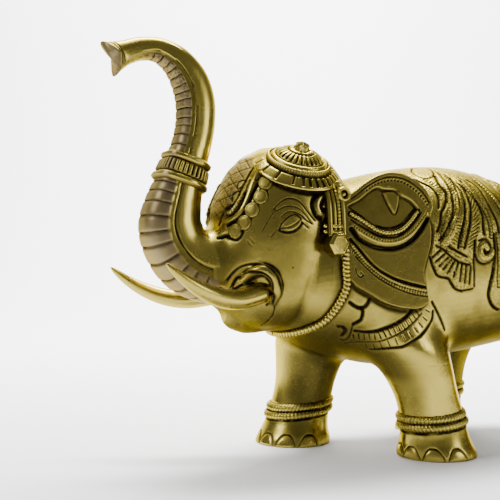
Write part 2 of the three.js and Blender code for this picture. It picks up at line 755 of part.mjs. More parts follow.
const mesh = elephant().simplify(SMALLEST_EDGE).getMesh();
const geometry = new THREE.BufferGeometry();
geometry.setAttribute("position", new THREE.BufferAttribute(mesh.vertProperties, 3));
geometry.setIndex(new THREE.BufferAttribute(mesh.triVerts, 1));
geometry.scale(...Array(3).fill(STATUE_HEIGHT / DRAWN_HEIGHT));
geometry.computeBoundingBox();
const { min, max } = geometry.boundingBox;
geometry.translate(-(min.x + max.x) / 2, -(min.y + max.y) / 2, -min.z);
geometry.computeVertexNormals();

const brass = new THREE.MeshStandardMaterial({
  color: BRASS_COLOUR,
  roughness: BRASS_ROUGHNESS,
  metalness: 1,
});
const statue = new THREE.Mesh(geometry, brass);
statue.name = "elephant";
const part = new THREE.Group();
part.add(statue);

export default part;
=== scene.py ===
"""Dressed model of a cast brass elephant with a raised trunk.

Shapes are worked out in millimetres in a working frame: the head looks towards -X, the animal's
middle plane is y = 0 and its left side, which the photograph shows, has negative y. Each piece
is moved onto the solid model's frame and into metres when its mesh is made.
"""

import functools
import math

import bpy
import numpy as np
import openvdb
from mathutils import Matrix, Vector


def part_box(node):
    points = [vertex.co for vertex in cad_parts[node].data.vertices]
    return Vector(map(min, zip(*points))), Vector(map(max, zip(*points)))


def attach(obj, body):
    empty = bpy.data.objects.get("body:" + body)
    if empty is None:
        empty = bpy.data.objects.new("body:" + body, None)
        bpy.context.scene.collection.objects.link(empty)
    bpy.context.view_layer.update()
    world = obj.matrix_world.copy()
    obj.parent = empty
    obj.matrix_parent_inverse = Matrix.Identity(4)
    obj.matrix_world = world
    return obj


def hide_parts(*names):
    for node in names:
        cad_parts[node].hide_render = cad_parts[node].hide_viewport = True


bl_info = {
    "name": "Brass Elephant Statue",
    "version": (1, 0, 0),
    "blender": (4, 5, 0),
    "location": "3D View > Sidebar > Elephant",
    "description": "Models a chased brass elephant with a raised trunk around its solid model",
    "category": "Object",
}

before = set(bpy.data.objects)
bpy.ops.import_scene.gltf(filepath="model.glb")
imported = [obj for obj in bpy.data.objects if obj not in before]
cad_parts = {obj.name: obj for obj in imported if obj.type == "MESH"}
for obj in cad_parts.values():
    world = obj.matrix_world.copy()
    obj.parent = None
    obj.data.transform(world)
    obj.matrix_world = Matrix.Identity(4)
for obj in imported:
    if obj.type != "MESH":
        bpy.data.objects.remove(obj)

NODE = "elephant"
BODY = "root"
MM = 0.001

# Where the working frame lies in the frame of the solid model
WORKING_MIDDLE_X = -19.025
WORKING_SOLE_Z = 5.0

# Lengthwise profile of the torso: place, top, bottom, half the width
TORSO = np.array([
    (-102, 116, 86, 16),
    (-88, 136, 77, 31),
    (-72, 153, 69, 41),
    (-52, 163, 62, 47),
    (-26, 170, 56, 52),
    (0, 174.6, 56, 54),
    (26, 175.4, 60, 55),
    (52, 170, 64, 54),
    (78, 160, 68, 51),
    (102, 148, 70, 46),
    (122, 134, 76, 38),
    (137, 118, 88, 24),
    (143, 106, 98, 6),
])
TORSO_SQUARE = 2.25

# Level sections of the head: height, foremost, hindmost and widest place, half the width
HEAD = np.array([
    (79, -107, -93, -101, 8),
    (84, -115, -81, -96, 24),
    (92, -121, -73, -94, 32),
    (104, -124, -68, -92, 36.5),
    (118, -126, -60, -90, 38.5),
    (133, -126.5, -50, -88, 39.5),
    (147, -125, -46, -86, 39),
    (160, -119.5, -48, -84, 37),
    (170, -113, -54, -84, 33),
    (178, -105, -62, -84, 25),
    (183, -97, -73, -84, 12),
])
HEAD_SQUARE = 2.15

# Trunk from inside the face to the tip: place, height, half depth, half width
TRUNK = np.array([
    (-100, 118, 19, 22),
    (-114, 115, 20, 22),
    (-127, 114.5, 20.5, 20),
    (-139.5, 118.5, 19.5, 17.5),
    (-148, 127, 18, 15.6),
    (-151.5, 138, 17.6, 14.6),
    (-149.8, 150, 15.6, 13.8),
    (-146.3, 161.5, 13.4, 12.6),
    (-142.4, 173, 11.6, 11),
    (-138.8, 184.5, 11.1, 10.1),
    (-136.8, 196, 11, 10),
    (-137, 208, 11, 10),
    (-140.8, 219.5, 10.4, 9.4),
    (-148.4, 229, 8.6, 8.6),
    (-158.6, 234.2, 6.8, 7.8),
    (-169, 234, 6.5, 7.4),
    (-178, 231, 7, 7.6),
    (-184.5, 228.2, 8.8, 8.4),
    (-187.6, 226.8, 10.2, 8.6),
])
TRUNK_MESH = (320, 128)
TRUNK_SPAN = (0.05, 0.998)
TIP_NOTCH = 4.2
TIP_LINES = (5.6, 3.2)

# Collar of the trunk: at places along its height, how far it stands proud, as a share of the
# setting, and how dark it is
COLLAR_AT = 0.47
COLLAR_HEIGHT = 17.0
COLLAR_FLUTES = 34
COLLAR_CUT = 1.2
COLLAR_MESH = (60, 204)
COLLAR_PROFILE = np.array([
    (-0.52, -2, 0), (-0.5, 0.2, 0.8), (-0.4, 1, 0), (-0.3, 0.95, 0), (-0.22, 0.3, 1),
    (-0.16, 0.85, 0.2), (0.16, 0.9, 0.1), (0.22, 0.3, 1), (0.3, 0.95, 0), (0.4, 1.1, 0),
    (0.5, 0.2, 0.8), (0.52, -2, 0),
])

# Section of the trunk: how square it is towards the mouth and behind, and, at shares of the
# length, where the rungs end and where the side line runs, as shares of the depth
TRUNK_MOUTH_SQUARE = 3.4
TRUNK_BACK_SQUARE = 2.2
TRUNK_EDGES = np.array([
    (0, 0.34, 0.08), (0.2, 0.34, 0.1), (0.4, 0.38, 0.17), (0.5, 0.58, 0.3), (0.9, 0.62, 0.34),
    (1, 0.62, 0.3),
])
RUNG_HALF_WIDTH = 0.7
RUNG_DEPTH = 0.5
SIDE_LINE_HALF = 0.045
SIDE_LINE_DEPTH = 0.6
TIP_LINE_HALF = 0.6
TIP_LINE_DEPTH = 0.5
BEVEL_DEPTH = 0.35

# Legs from the sole up: height, lengthwise shift, shift inwards, half length, half width
FRONT_LEG = np.array([
    (5, 0.4, 0, 1.0, 1.0),
    (9, 0, 0, 0.97, 0.97),
    (14, -0.9, 0, 0.89, 0.89),
    (21, -2, 0, 0.83, 0.83),
    (33, -4.6, 0, 0.79, 0.8),
    (44, -8.4, 0.5, 0.81, 0.81),
    (56, -13.5, 1.5, 0.93, 0.87),
    (70, -20, 4, 1.12, 0.96),
    (86, -26, 9.5, 1.33, 1.0),
    (104, -30, 15, 1.42, 1.0),
    (124, -32, 20, 1.2, 0.9),
])
REAR_LEG = np.array([
    (5, 0, 0, 1.0, 1.0),
    (9, 0, 0, 0.97, 0.97),
    (15, -0.5, 0, 0.89, 0.89),
    (26, 0, 0, 0.83, 0.83),
    (38, 0.5, 0, 0.82, 0.82),
    (50, 0, 1, 0.87, 0.85),
    (62, 0, 3, 1.0, 0.94),
    (80, 2, 7, 1.4, 1.15),
    (102, 6, 12, 1.62, 1.25),
    (122, 10, 18, 1.3, 1.05),
])
SOLE_RADIUS = 23.4

# Anklets and nails: each anklet has two cords, at these places in cords above its foot, twisted
# to one side and to the other, and the nails stand at these angles from the front
ANKLET_CORD = 4.6
ANKLET_TILT = 0.09
ANKLET_STRANDS = 58
ANKLET_LAYS = ((0.54, 1.0), (1.54, -1.0))
NAIL_PLACES = (-87, -50, -15, 15, 50, 87)
NAIL_ROUND = 2.6
NAIL_WIDTH = 13.4
NAIL_RISE = 0.25
NAIL_LINE_HALF = 0.65
NAIL_LINE_DEPTH = 0.5
SLANT_BEND = 1.4

# Height where the skin of the legs ends below the anklets, and rows and columns of a foot
LEG_SEAM = 28.0
FOOT_MESH = {"front": (60, 232), "rear": (44, 174)}

# Foot: height and inset of the rings at its sole, heights of the others, where its relief fades
# out, and how deep and where it dips under the skin of the leg
SOLE_RINGS = np.array([(5, -3), (5, -0.8), (5.3, -0.2), (5.9, 0)])
FOOT_HEIGHTS = (6.6, 44)
SOLE_FADE = (5, 6.5)
FOOT_DIPS = ((0.4, 28.5, 31), (0.5, 36, 38))

# Each foot: name, leg, place, side, slant of the leg, height of its anklets
FEET = (
    ("left_front", FRONT_LEG, 0.0, -36.0, 0.0, 22.4),
    ("right_front", FRONT_LEG, -58.5, 36.0, 80.0, 22.4),
    ("right_rear", REAR_LEG, 47.0, 36.0, 14.0, 27.0),
    ("left_rear", REAR_LEG, 108.0, -36.0, -20.0, 27.0),
)

# Bars of brass along a route: place, side, height, radius
TUSK = np.array([
    (-104, -27, 103, 5.75),
    (-114, -31.5, 100.5, 5.75),
    (-127, -36.5, 98.2, 5.5),
    (-139, -41, 99.4, 5.05),
    (-150, -44.5, 103.2, 4.35),
    (-160, -46.5, 108.6, 3.2),
    (-168, -47.4, 114.4, 1.85),
    (-171.5, -47.6, 117.4, 0.6),
])
TUSK_MESH = (90, 36)
RIGHT_TUSK_DROP = 3.0
LIP = np.array([
    (-96, 0, 92, 13),
    (-106, 0, 88, 11),
    (-114, 0, 86.5, 7.5),
    (-119.5, 0, 87.5, 3.5),
])
SOCKET_FOLD = np.array([
    (-120, -25, 107.5, 2.2),
    (-116, -30, 112, 2.8),
    (-110.8, -34.3, 113.4, 3.1),
    (-105.8, -36.6, 109, 3.1),
    (-104.2, -35.8, 102, 3.0),
    (-106, -33, 95.4, 2.6),
])
TAIL = np.array([
    (122, 0, 120, 5),
    (137, 0, 119, 5),
    (147, 1, 110, 4.5),
    (150, 3, 93, 3.75),
    (148, 6, 75, 3.5),
    (146, 8, 62, 5.5),
    (144.5, 9, 52, 5),
    (143, 9, 43, 1.5),
])
TAIL_MESH = (140, 42)
TUFT_AT = 0.68

# How much the tail and trunk stay under the outline of the solid
TAIL_SLACK = 0.35
TRUNK_SLACK = 0.3

# Rope collar at the throat, left half
THROAT_ROPE = np.array([
    (-63, -36, 138, 2.4),
    (-65, -42, 128, 2.5),
    (-65.6, -43.4, 113, 2.5),
    (-65.2, -43.2, 104, 2.5),
    (-69, -39.2, 93, 2.5),
    (-74.5, -32, 84, 2.5),
    (-83, -18.4, 78.2, 2.5),
    (-87, 0, 76.6, 2.5),
])
ROPE_GROOVE = 0.9
ROPE_MESH = (560, 16)

# Crown domes, with bands at shares of their radius
DOME_RADIUS = 25.0
DOME_HEIGHT = 17.6
DOME_LEAN = math.radians(29)
DOME_MIDDLE = np.array((-84.5, -21.0, 169.0))
DOME_PROFILE = np.array([
    (0.82, -0.34), (0.95, -0.14), (1, 0.02), (0.84, 0.22), (0.78, 0.26), (0.72, 0.38),
    (0.56, 0.48), (0.46, 0.62), (0.26, 0.74), (0.17, 0.8), (0.15, 0.93), (0.02, 1),
])
DOME_GROOVES = ((0.765, 0.03, 1.5), (0.655, 0.022, 1.2), (0.545, 0.018, 0.9), (0.29, 0.02, 0.9))
DOME_BEADS = 74
DOME_BEADS_AT = (0.71, 0.034)
DOME_BEAD_RISE = 0.7
DOME_RING_AT = (0.6, 0.035)
DOME_RING_RISE = 0.5

# Bands of cuts on a dome: inner and outer radius, number of cuts, half the width of one as a
# share of their distance. The first band is slotted, the second takes its place on the plain side
DOME_CUTS = ((0.79, 0.97, 34, 0.23), (0.79, 0.97, 15, 0.05), (0.32, 0.52, 26, 0.23))
DOME_CUT_DEPTH = 0.8
# Share of a dome's rows under its brim: left plain and painted fully dark as shade
DOME_UNDERSIDE = 0.16
DOME_PLAIN_SIDE = math.radians(160)
DOME_MESHES = {"left": (110, 296), "right": (80, 148)}

# Tassel behind the cheek: strands, ties and a six-sided drop, and the rosette above it
TASSEL_X = -71.5
STRANDS = ((-4.3, 1.7), (-1.3, 1.35), (1.4, 1.35), (4.2, 1.6))
STRAND_ROUTE = ((0, -36, 162), (0.5, -41.4, 150), (0.5, -43.4, 132))
STRAND_MESH = (100, 12)
TWISTED_STRAND = 2
TASSEL_TIES = (134.5, 137.6)
TIE_ROUTE = ((-6, -40, 0), (0, -45.4, -0.3), (6.6, -41, 0))
TIE_RADIUS = 1.1
TIE_MESH = (60, 14)
DROP_MIDDLE = np.array((-71.0, -34.0, 127.6))
DROP_RADIUS = 6.8
DROP_DEPTH = 13.4
DROP_PROFILE = np.array([
    (1, 0), (1, 0.3), (1, 0.62), (1, 0.86), (0.92, 0.93), (0.7, 1), (0.62, 0.985), (0.3, 0.98),
    (0.04, 0.98),
])
DROP_MESH = (36, 48)
ROSETTE_MIDDLE = np.array((-65.5, -37.5, 155.2))
ROSETTE_RADIUS = 4.3
ROSETTE_DEPTH = 5.0
ROSETTE_PROFILE = np.array([
    (1, 0), (1, 0.5), (0.92, 0.9), (0.7, 1), (0.5, 0.8), (0.42, 0.45), (0.34, 0.62),
    (0.2, 0.85), (0.03, 0.9),
])
ROSETTE_MESH = (36, 44)
OUT_OF_LEFT_SIDE = np.array((0.0, -1.0, 0.0))

# Ear outline and its chased lines, as x and z on the face of the left ear
EAR_TOP = np.array([
    (-66, 150), (-61, 154.6), (-56.2, 158.2), (-49.9, 162.9), (-42.4, 166.6), (-35.6, 167.7),
    (-29.1, 166.5), (-22, 162.8), (-17, 157.4), (-14, 149),
])
EAR_LOW = np.array([
    (-66, 112), (-62.8, 107.5), (-59.8, 104.3), (-53.6, 100.6), (-46.6, 96.3), (-38.8, 93.4),
    (-29.6, 92), (-23.6, 92.8), (-19.8, 95.9),
])
EAR_REAR = np.array([
    (-19.8, 95.9), (-21.3, 105.2), (-22.2, 112.2), (-19.7, 121.2), (-17.6, 128.2),
    (-16.6, 134.7), (-16.5, 142.4), (-14, 149),
])
EAR_FRONT = np.array([(-66, 112), (-68, 125), (-68, 140), (-66, 150)])
EAR_RIM_GROOVE = (
    (-60.6, 152.9), (-56, 156.3), (-49.6, 160.9), (-42.3, 164.5), (-35.6, 165.5), (-29.4, 164.3),
    (-23.4, 160.9), (-18.8, 156.2), (-16.2, 151.3),
)
EAR_TICKS = (
    (-52.4, 157.2), (-47.4, 160.6), (-42, 162.9), (-35.6, 163.6), (-29.6, 162.2), (-24, 158.6),
    (-19.8, 154.2), (-16.8, 149.4),
)
EAR_RECESS = (
    (-62.6, 148.6), (-61.2, 149.6), (-55.9, 152.4), (-50.4, 156.8), (-45.6, 159.3),
    (-41.8, 158.4), (-35.9, 157.9), (-32.8, 155.3), (-27, 152.2), (-23.4, 148.4), (-22.6, 146.6),
    (-24.6, 146), (-28.2, 142.6), (-33, 138.4), (-38.5, 136.4), (-43.7, 136.4), (-50, 138.6),
    (-56, 143), (-61.7, 147.4),
)
EAR_FOLD = (
    (-41.9, 156.7), (-35.9, 157.4), (-33.2, 154.6), (-36.1, 145.2), (-39.3, 149.3),
    (-41.7, 155.7),
)
EAR_BEADS_UPPER = (
    (-61.6, 144.2), (-55, 140.2), (-49, 136), (-44, 134.1), (-38.7, 134.1), (-33.3, 136.1),
    (-28.1, 140.8), (-23.6, 146.3),
)
EAR_BETWEEN_BEADS = (
    (-62, 141.4), (-54.1, 136.4), (-48, 132.7), (-42.2, 131.5), (-36.3, 132.1), (-30.6, 135.7),
    (-25.4, 141), (-21.4, 145.6),
)
EAR_BEADS_LOWER = (
    (-61, 138), (-54.4, 133.4), (-48.2, 130.2), (-41.8, 129.3), (-35.1, 130.5), (-28.7, 134.3),
    (-23.5, 139.5), (-18.8, 145),
)
EAR_CRESCENT = (
    (-62, 136), (-58.4, 130.9), (-52.9, 127.5), (-47.3, 125.7), (-39.6, 125.3), (-32.8, 127.2),
    (-27.1, 130.8), (-22.2, 135.9), (-18, 142),
)
EAR_PANEL_LINE = (
    (-63, 130.4), (-58.2, 124.3), (-53.3, 118), (-47.6, 113), (-39.9, 108.8), (-32, 106.2),
    (-21.4, 103.6),
)
EAR_HEM_BEADS = (
    (-62.6, 127.2), (-57.9, 121), (-52.9, 115.8), (-46.5, 110.7), (-39.4, 106.8), (-31.5, 104),
    (-21.4, 101.9),
)
EAR_HEM_TICKS = (
    (-61.4, 123.6), (-56.6, 117.8), (-50.6, 112), (-43.4, 107), (-35.6, 103.4), (-28, 101.4),
    (-21, 100.2),
)
EAR_HEM_GROOVE = (
    (-60.8, 121), (-55, 114.6), (-48.2, 108.8), (-40.4, 104.3), (-32.4, 101), (-26, 99.4),
    (-20.6, 98.6),
)
EAR_SWIRL = ((-60.9, 114.6), (-60.4, 111.6), (-58.6, 109.6), (-57, 110.6), (-58.4, 112.4))
EAR_EDGE = 5.0

# Face of the left ear: its distance from the middle plane at its front edge, how far it spreads
# out over its length, and how it leans in above and below a height
EAR_SIDE = 42.8
EAR_SPREAD = 13.0
EAR_START = -68.0
EAR_LENGTH = 52.0
EAR_LEAN_HEIGHT = 125.0
EAR_LEANS = (0.06, 0.16)

# Loops around the ear behind its face: share of the way back, and swell
EAR_LOOPS = ((0.03, 0.35), (0.12, 0.6), (0.4, 0.5), (0.8, 0), (1, -1))
EAR_MESHES = {"left": (190, 165), "right": (110, 96)}

# Routes of the beaded cords at the border of the cap and above the cheek
CAP_COIL = (
    (-113, -20.4, 162.6), (-114.8, -20.8, 158.9), (-116.7, -20.7, 155.4), (-118.7, -20, 151.9),
    (-120.5, -18.9, 148.4), (-122.2, -16.8, 145.6), (-123.5, -13.7, 144.7),
    (-123.3, -12.4, 147.2), (-122.4, -14.6, 148.2),
)
CHEEK_CORD = (
    (-78.4, -37.7, 155.2), (-73.8, -36.8, 156.1), (-68.6, -34.9, 157.6), (-62, -30.5, 160.4),
)

# Chasing on the head and chest, with some shade painted in as dark grooves: how it is cut, its sizes
# in mm and its route on the left side
HEAD_CHASING = (
    # border of the net cap: dark edge, beads that end in a coil, plain ridges
    ("groove", (2.0, 1.0), (
        (-107.7, -16.5, 172.2), (-111.2, -17.3, 167.7), (-114.4, -17.8, 162.6),
        (-117.1, -17.4, 158), (-119.2, -17.7, 153.4), (-121.3, -16.4, 149.5),
        (-123.2, -13.1, 146.8), (-125, -9.1, 143.1), (-126.2, -8.3, 138.5))),
    ("ridge", (3.2, 0.9), CAP_COIL),
    ("beads", (2.2, 0.7, 1.8), CAP_COIL),
    ("groove", (1.5, 0.8), (
        (-116, -21.7, 155.7), (-117.5, -22.2, 151.4), (-119.6, -21.3, 146.9),
        (-121.6, -18.9, 143.8), (-123.8, -14.3, 142))),
    ("ridge", (4.0, 1.2), (
        (-107.4, -20.4, 170.2), (-110.6, -22.4, 165), (-113.4, -23.2, 159.4),
        (-115.8, -24, 153.9), (-118.1, -23.5, 148.2), (-120.5, -21, 143.6),
        (-123.9, -14.6, 140.1))),
    ("groove", (0.9, 0.5), (
        (-109.5, -21.1, 167.1), (-112.6, -21.2, 162.5), (-115, -21.2, 158.2))),
    ("groove", (2.4, 1.4), (
        (-110.2, -25.5, 161.2), (-113.1, -25.3, 156.2), (-115.5, -25.3, 151),
        (-118, -24.4, 145.4), (-120.5, -21.6, 141.3), (-124.1, -14.9, 137.8))),
    ("groove", (1.4, 0.8), (
        (-107.8, -24.9, 165.7), (-109.1, -25, 163.7), (-110.7, -24, 162.5))),
    # leaves on the net beside the border
    ("groove", (1.2, 0.6), (
        (-118, -14.3, 158.5), (-117.1, -13.1, 161.1), (-115.7, -14.3, 162.8),
        (-114.6, -17.1, 162.7), (-116.2, -17.2, 159.8), (-117.8, -15.6, 158.1))),
    ("groove", (1.4, 0.7), (
        (-121.2, -14.6, 151.4), (-120.2, -13.1, 155), (-119, -14.7, 156.4),
        (-117.8, -17.3, 156.6), (-119, -18.2, 153.3), (-120.7, -16.8, 150.6))),
    # undercut below the crown, its dark band painted shade under the dome's brim, and the cleft
    # where the trunk meets the brow
    ("groove", (4.6, 1.8), (
        (-106.2, -26.8, 165.4), (-102.4, -32, 161.3), (-97.1, -35.3, 158.6),
        (-91.1, -37.2, 156.9), (-84.3, -37.8, 156), (-75.4, -36.9, 156.5),
        (-67.4, -33.7, 159.6))),
    ("groove", (3.2, 1.6), (
        (-128.5, -13.8, 131), (-125.8, -15.5, 132), (-123.7, -18.5, 131.4),
        (-121.3, -22, 130.6), (-119.4, -24.2, 134.2))),
    # eye, its lids and the brow
    ("groove", (1.1, 0.6), (
        (-103.2, -36.8, 135.7), (-101.1, -37.4, 139.3), (-97.4, -38.1, 142.7),
        (-94.2, -38.7, 143.6), (-91.5, -39.2, 141.6))),
    ("groove", (0.9, 0.45), (
        (-91.4, -39.2, 141.4), (-93.8, -39, 139.1), (-98.1, -38.3, 136.7),
        (-102.4, -37.1, 135.9))),
    ("groove", (1.8, 1.0), (
        (-103.2, -36.8, 135.1), (-99.7, -38, 134), (-95.5, -38.9, 134.6),
        (-92.2, -39.3, 137), (-90.7, -39.3, 139.1))),
    ("groove", (0.9, 0.35), (
        (-101.9, -36.8, 142.4), (-98.3, -37.7, 145), (-94.7, -38.5, 144.9),
        (-90.9, -39.1, 143), (-88.1, -39.4, 140.5), (-84.3, -39.4, 138.7))),
    ("groove", (1.1, 0.6), (
        (-105.5, -34.7, 146.5), (-101.4, -35.7, 150.7), (-97.8, -36.7, 152.4),
        (-94.2, -37.6, 152.1), (-90.6, -38.5, 149.8), (-87.3, -39.1, 145.7),
        (-82.7, -39.2, 140.5))),
    ("groove", (0.9, 0.45), (
        (-104.2, -35.5, 145.5), (-100.2, -36.7, 147.7), (-96.1, -37.8, 148.1),
        (-91.9, -38.7, 146.6), (-88.6, -39.2, 143.6), (-84.6, -39.4, 138.8))),
    ("groove", (1.1, 0.5), ((-90.9, -39.3, 139.9), (-89, -39.4, 138.2), (-87, -39.5, 136.6))),
    ("groove", (0.7, 0.2), (
        (-111.3, -32.5, 134.4), (-108.1, -34.1, 140.8), (-104.6, -35.2, 146.3))),
    ("groove", (0.7, 0.2), ((-107.4, -35, 131), (-106, -35.7, 133), (-104.5, -36.3, 135.2))),
    ("groove", (0.7, 0.2), ((-116.6, -27.9, 130.6), (-115.6, -29, 129.3), (-114.6, -29.9, 128))),
    ("groove", (0.7, 0.2), (
        (-117.7, -26.7, 129.3), (-116.6, -27.8, 127.8), (-115.6, -28.9, 126.2))),
    # folds around the tusk socket, the mouth and the lip
    ("groove", (1.7, 0.8), (
        (-127.1, -20, 107), (-123.9, -21.6, 111.7), (-120.6, -24.1, 115),
        (-116.9, -27.3, 116.5), (-113, -31.4, 116.8), (-109.2, -36.5, 114.8),
        (-106.2, -38.5, 111.3), (-104.4, -38.5, 107.2), (-103.2, -36.5, 102.4),
        (-104.5, -32.5, 98), (-107.4, -30, 94.4))),
    ("groove", (2.0, 1.1), (
        (-124.6, -20.2, 102.2), (-122.3, -23, 108.8), (-119.8, -28.4, 112),
        (-116.3, -33, 112.6), (-112, -36.4, 111.4), (-108.5, -37.6, 107.6),
        (-107, -36, 103), (-108, -33, 99.4))),
    ("groove", (2.2, 1.0), (
        (-130.5, -18.9, 103.5), (-125.7, -19.7, 101.6), (-122.1, -21.7, 103.4),
        (-118.8, -24.5, 105.5), (-115, -27.6, 106.2), (-111.6, -30, 104.7))),
    ("groove", (1.0, 0.4), (
        (-104.3, -33.6, 98), (-103.4, -31.9, 94.1), (-103.2, -27.5, 87.9),
        (-105.3, -18.2, 82.6))),
    # scroll and beads behind the cheek
    ("groove", (3.0, 1.5), (
        (-80.4, -37.8, 155.2), (-82.9, -38.3, 152.7), (-84.1, -38.7, 149.2),
        (-83.3, -39, 145.7), (-81.7, -39.1, 142.8), (-78.5, -38.7, 141.6))),
    ("ridge", (4.2, 1.5), (
        (-73.2, -36.5, 155.8), (-77.9, -37.7, 153.9), (-80.7, -38.4, 150.6),
        (-81.1, -38.8, 147.1), (-78.9, -38.7, 144.4), (-75.3, -38, 144.1),
        (-72.2, -37.1, 146.3), (-71.3, -36.7, 149.2), (-73.7, -37.2, 150.7),
        (-76, -37.9, 149.4))),
    ("groove", (1.8, 0.9), (
        (-77.6, -38.2, 149.3), (-76.5, -37.7, 152), (-73.5, -36.9, 153.5),
        (-70.1, -35.9, 152.8), (-68.6, -35.5, 151.4))),
    ("ridge", (2.8, 0.8), CHEEK_CORD),
    ("beads", (2.2, 0.6, 1.7), CHEEK_CORD),
    # painted shade beside the rope collar: a wide, shallow groove left dark
    ("groove", (8.4, 0.6), (
        (-65.6, -42.9, 120.5), (-66.1, -43.1, 115.8), (-65.6, -43.4, 110.4),
        (-65.1, -43.2, 104.5), (-67, -41.7, 98.5), (-69.1, -39.4, 93),
        (-71.8, -35.7, 87.5), (-74.4, -31.9, 83.8), (-77.6, -28, 81.8),
        (-83, -18, 78.6), (-86, -8, 77.4), (-87, 0, 77))),
    # petals and leaf below the ear
    ("groove", (2.6, 1.1), (
        (-62.5, -42.6, 95.4), (-59.5, -43.3, 93.2), (-56.3, -44.5, 92),
        (-53.9, -46.2, 93.7), (-52.4, -47.7, 97.1))),
    ("groove", (2.6, 1.1), (
        (-56.7, -44.4, 92.4), (-55.3, -44.5, 90.2), (-55.2, -42.7, 85.9),
        (-57.1, -40.2, 83.7), (-58.3, -38.9, 82.8))),
    ("groove", (3.4, 0.6), (
        (-65.4, -34.7, 81.7), (-62.7, -35.4, 81.2), (-60.6, -34.4, 79.4),
        (-61.2, -32, 76.6))),
    ("groove", (1.2, 0.6), (
        (-61, -29.3, 74), (-58.8, -29.8, 73.5), (-57.4, -32.4, 75), (-57.6, -35.3, 77.8),
        (-58.4, -38.2, 81.9))),
    # painted shade below the ear, where the ear overhangs: shallow grooves left dark
    ("groove", (4.4, 0.5, 0.9), (
        (-66, -42, 111.5), (-62.4, -43, 106.8), (-59.2, -43.8, 103.2), (-53.2, -46, 99.4),
        (-46.4, -48.5, 95), (-38.8, -50.5, 92), (-29.6, -52.5, 90.6), (-23, -53, 91.6),
        (-18.6, -53, 95))),
    ("groove", (3.0, 0.5, 0.9), (
        (-18.6, -53, 95), (-20.3, -53, 105.2), (-21, -53, 112.2), (-18.4, -53, 121.2),
        (-16.2, -53, 128.2), (-15.2, -52, 134.7), (-15, -50.5, 142.4))),
    # chest bands: three lines with cuts between them
    ("groove", (2.6, 1.1), (
        (-56.3, -37.3, 79), (-51.8, -40.5, 78.4), (-47.2, -45, 79), (-42.3, -49.1, 81.3),
        (-37.4, -51.6, 83.8), (-32.4, -53.1, 86.7), (-28.7, -53.6, 89.6),
        (-26.8, -53.8, 91.7))),
    ("groove", (1.0, 0.5), (
        (-57, -28, 72), (-51.8, -34, 72.5), (-48.2, -38.7, 72.8), (-44.4, -43.9, 73.3),
        (-40.4, -48.6, 75.6), (-35.5, -51.7, 78.5), (-30, -53.3, 82), (-24.6, -53.6, 85.7),
        (-20.9, -53.5, 89))),
    ("groove", (1.8, 0.8), (
        (-46, -36, 67.8), (-41.8, -43.7, 69.1), (-37.8, -48.4, 70), (-33.7, -51.3, 70.9),
        (-28.6, -53.4, 73.9), (-22.8, -54, 77.1), (-17, -53.1, 81.2), (-13.3, -52.3, 85.3),
        (-12.9, -52.5, 90))),
    ("ticks", (4.6, 0.6, 3.0, 1.2), (
        (-54.3, -35.7, 75.8), (-50, -39.9, 75.7), (-45.8, -44.5, 76.2), (-41.6, -48.7, 78.5),
        (-36.5, -51.7, 81.3), (-31.4, -53.1, 84.2), (-26.6, -53.6, 87.5),
        (-23.1, -53.7, 90.4))),
    ("ticks", (4.2, 0.5, 4.6, 1.0), (
        (-49, -34, 70.2), (-43.3, -42.1, 70.9), (-39.3, -48.4, 72.8), (-34.8, -51.5, 74.8),
        (-29, -53.4, 77.9), (-23.1, -53.7, 81.8), (-18.6, -53.2, 85.9), (-16.5, -53.1, 90.2))),
)
CAP_DISCS = (
    (-107, -28.2, 161), (-110.6, -29.2, 153.4), (-115.1, -27.4, 146.2),
    (-118.6, -25, 139.4), (-121.8, -20.4, 134.6),
)
CAP_DISC_RADIUS = 3.9
EYE_RISE = 0.9
EYE_OUTLINE = (
    (-103.4, 135.3), (-101, 139.2), (-97.4, 142.6), (-94.2, 143.4), (-91.2, 141.2),
    (-90.6, 139), (-92.4, 136.8), (-95.6, 134.6), (-99.8, 134),
)

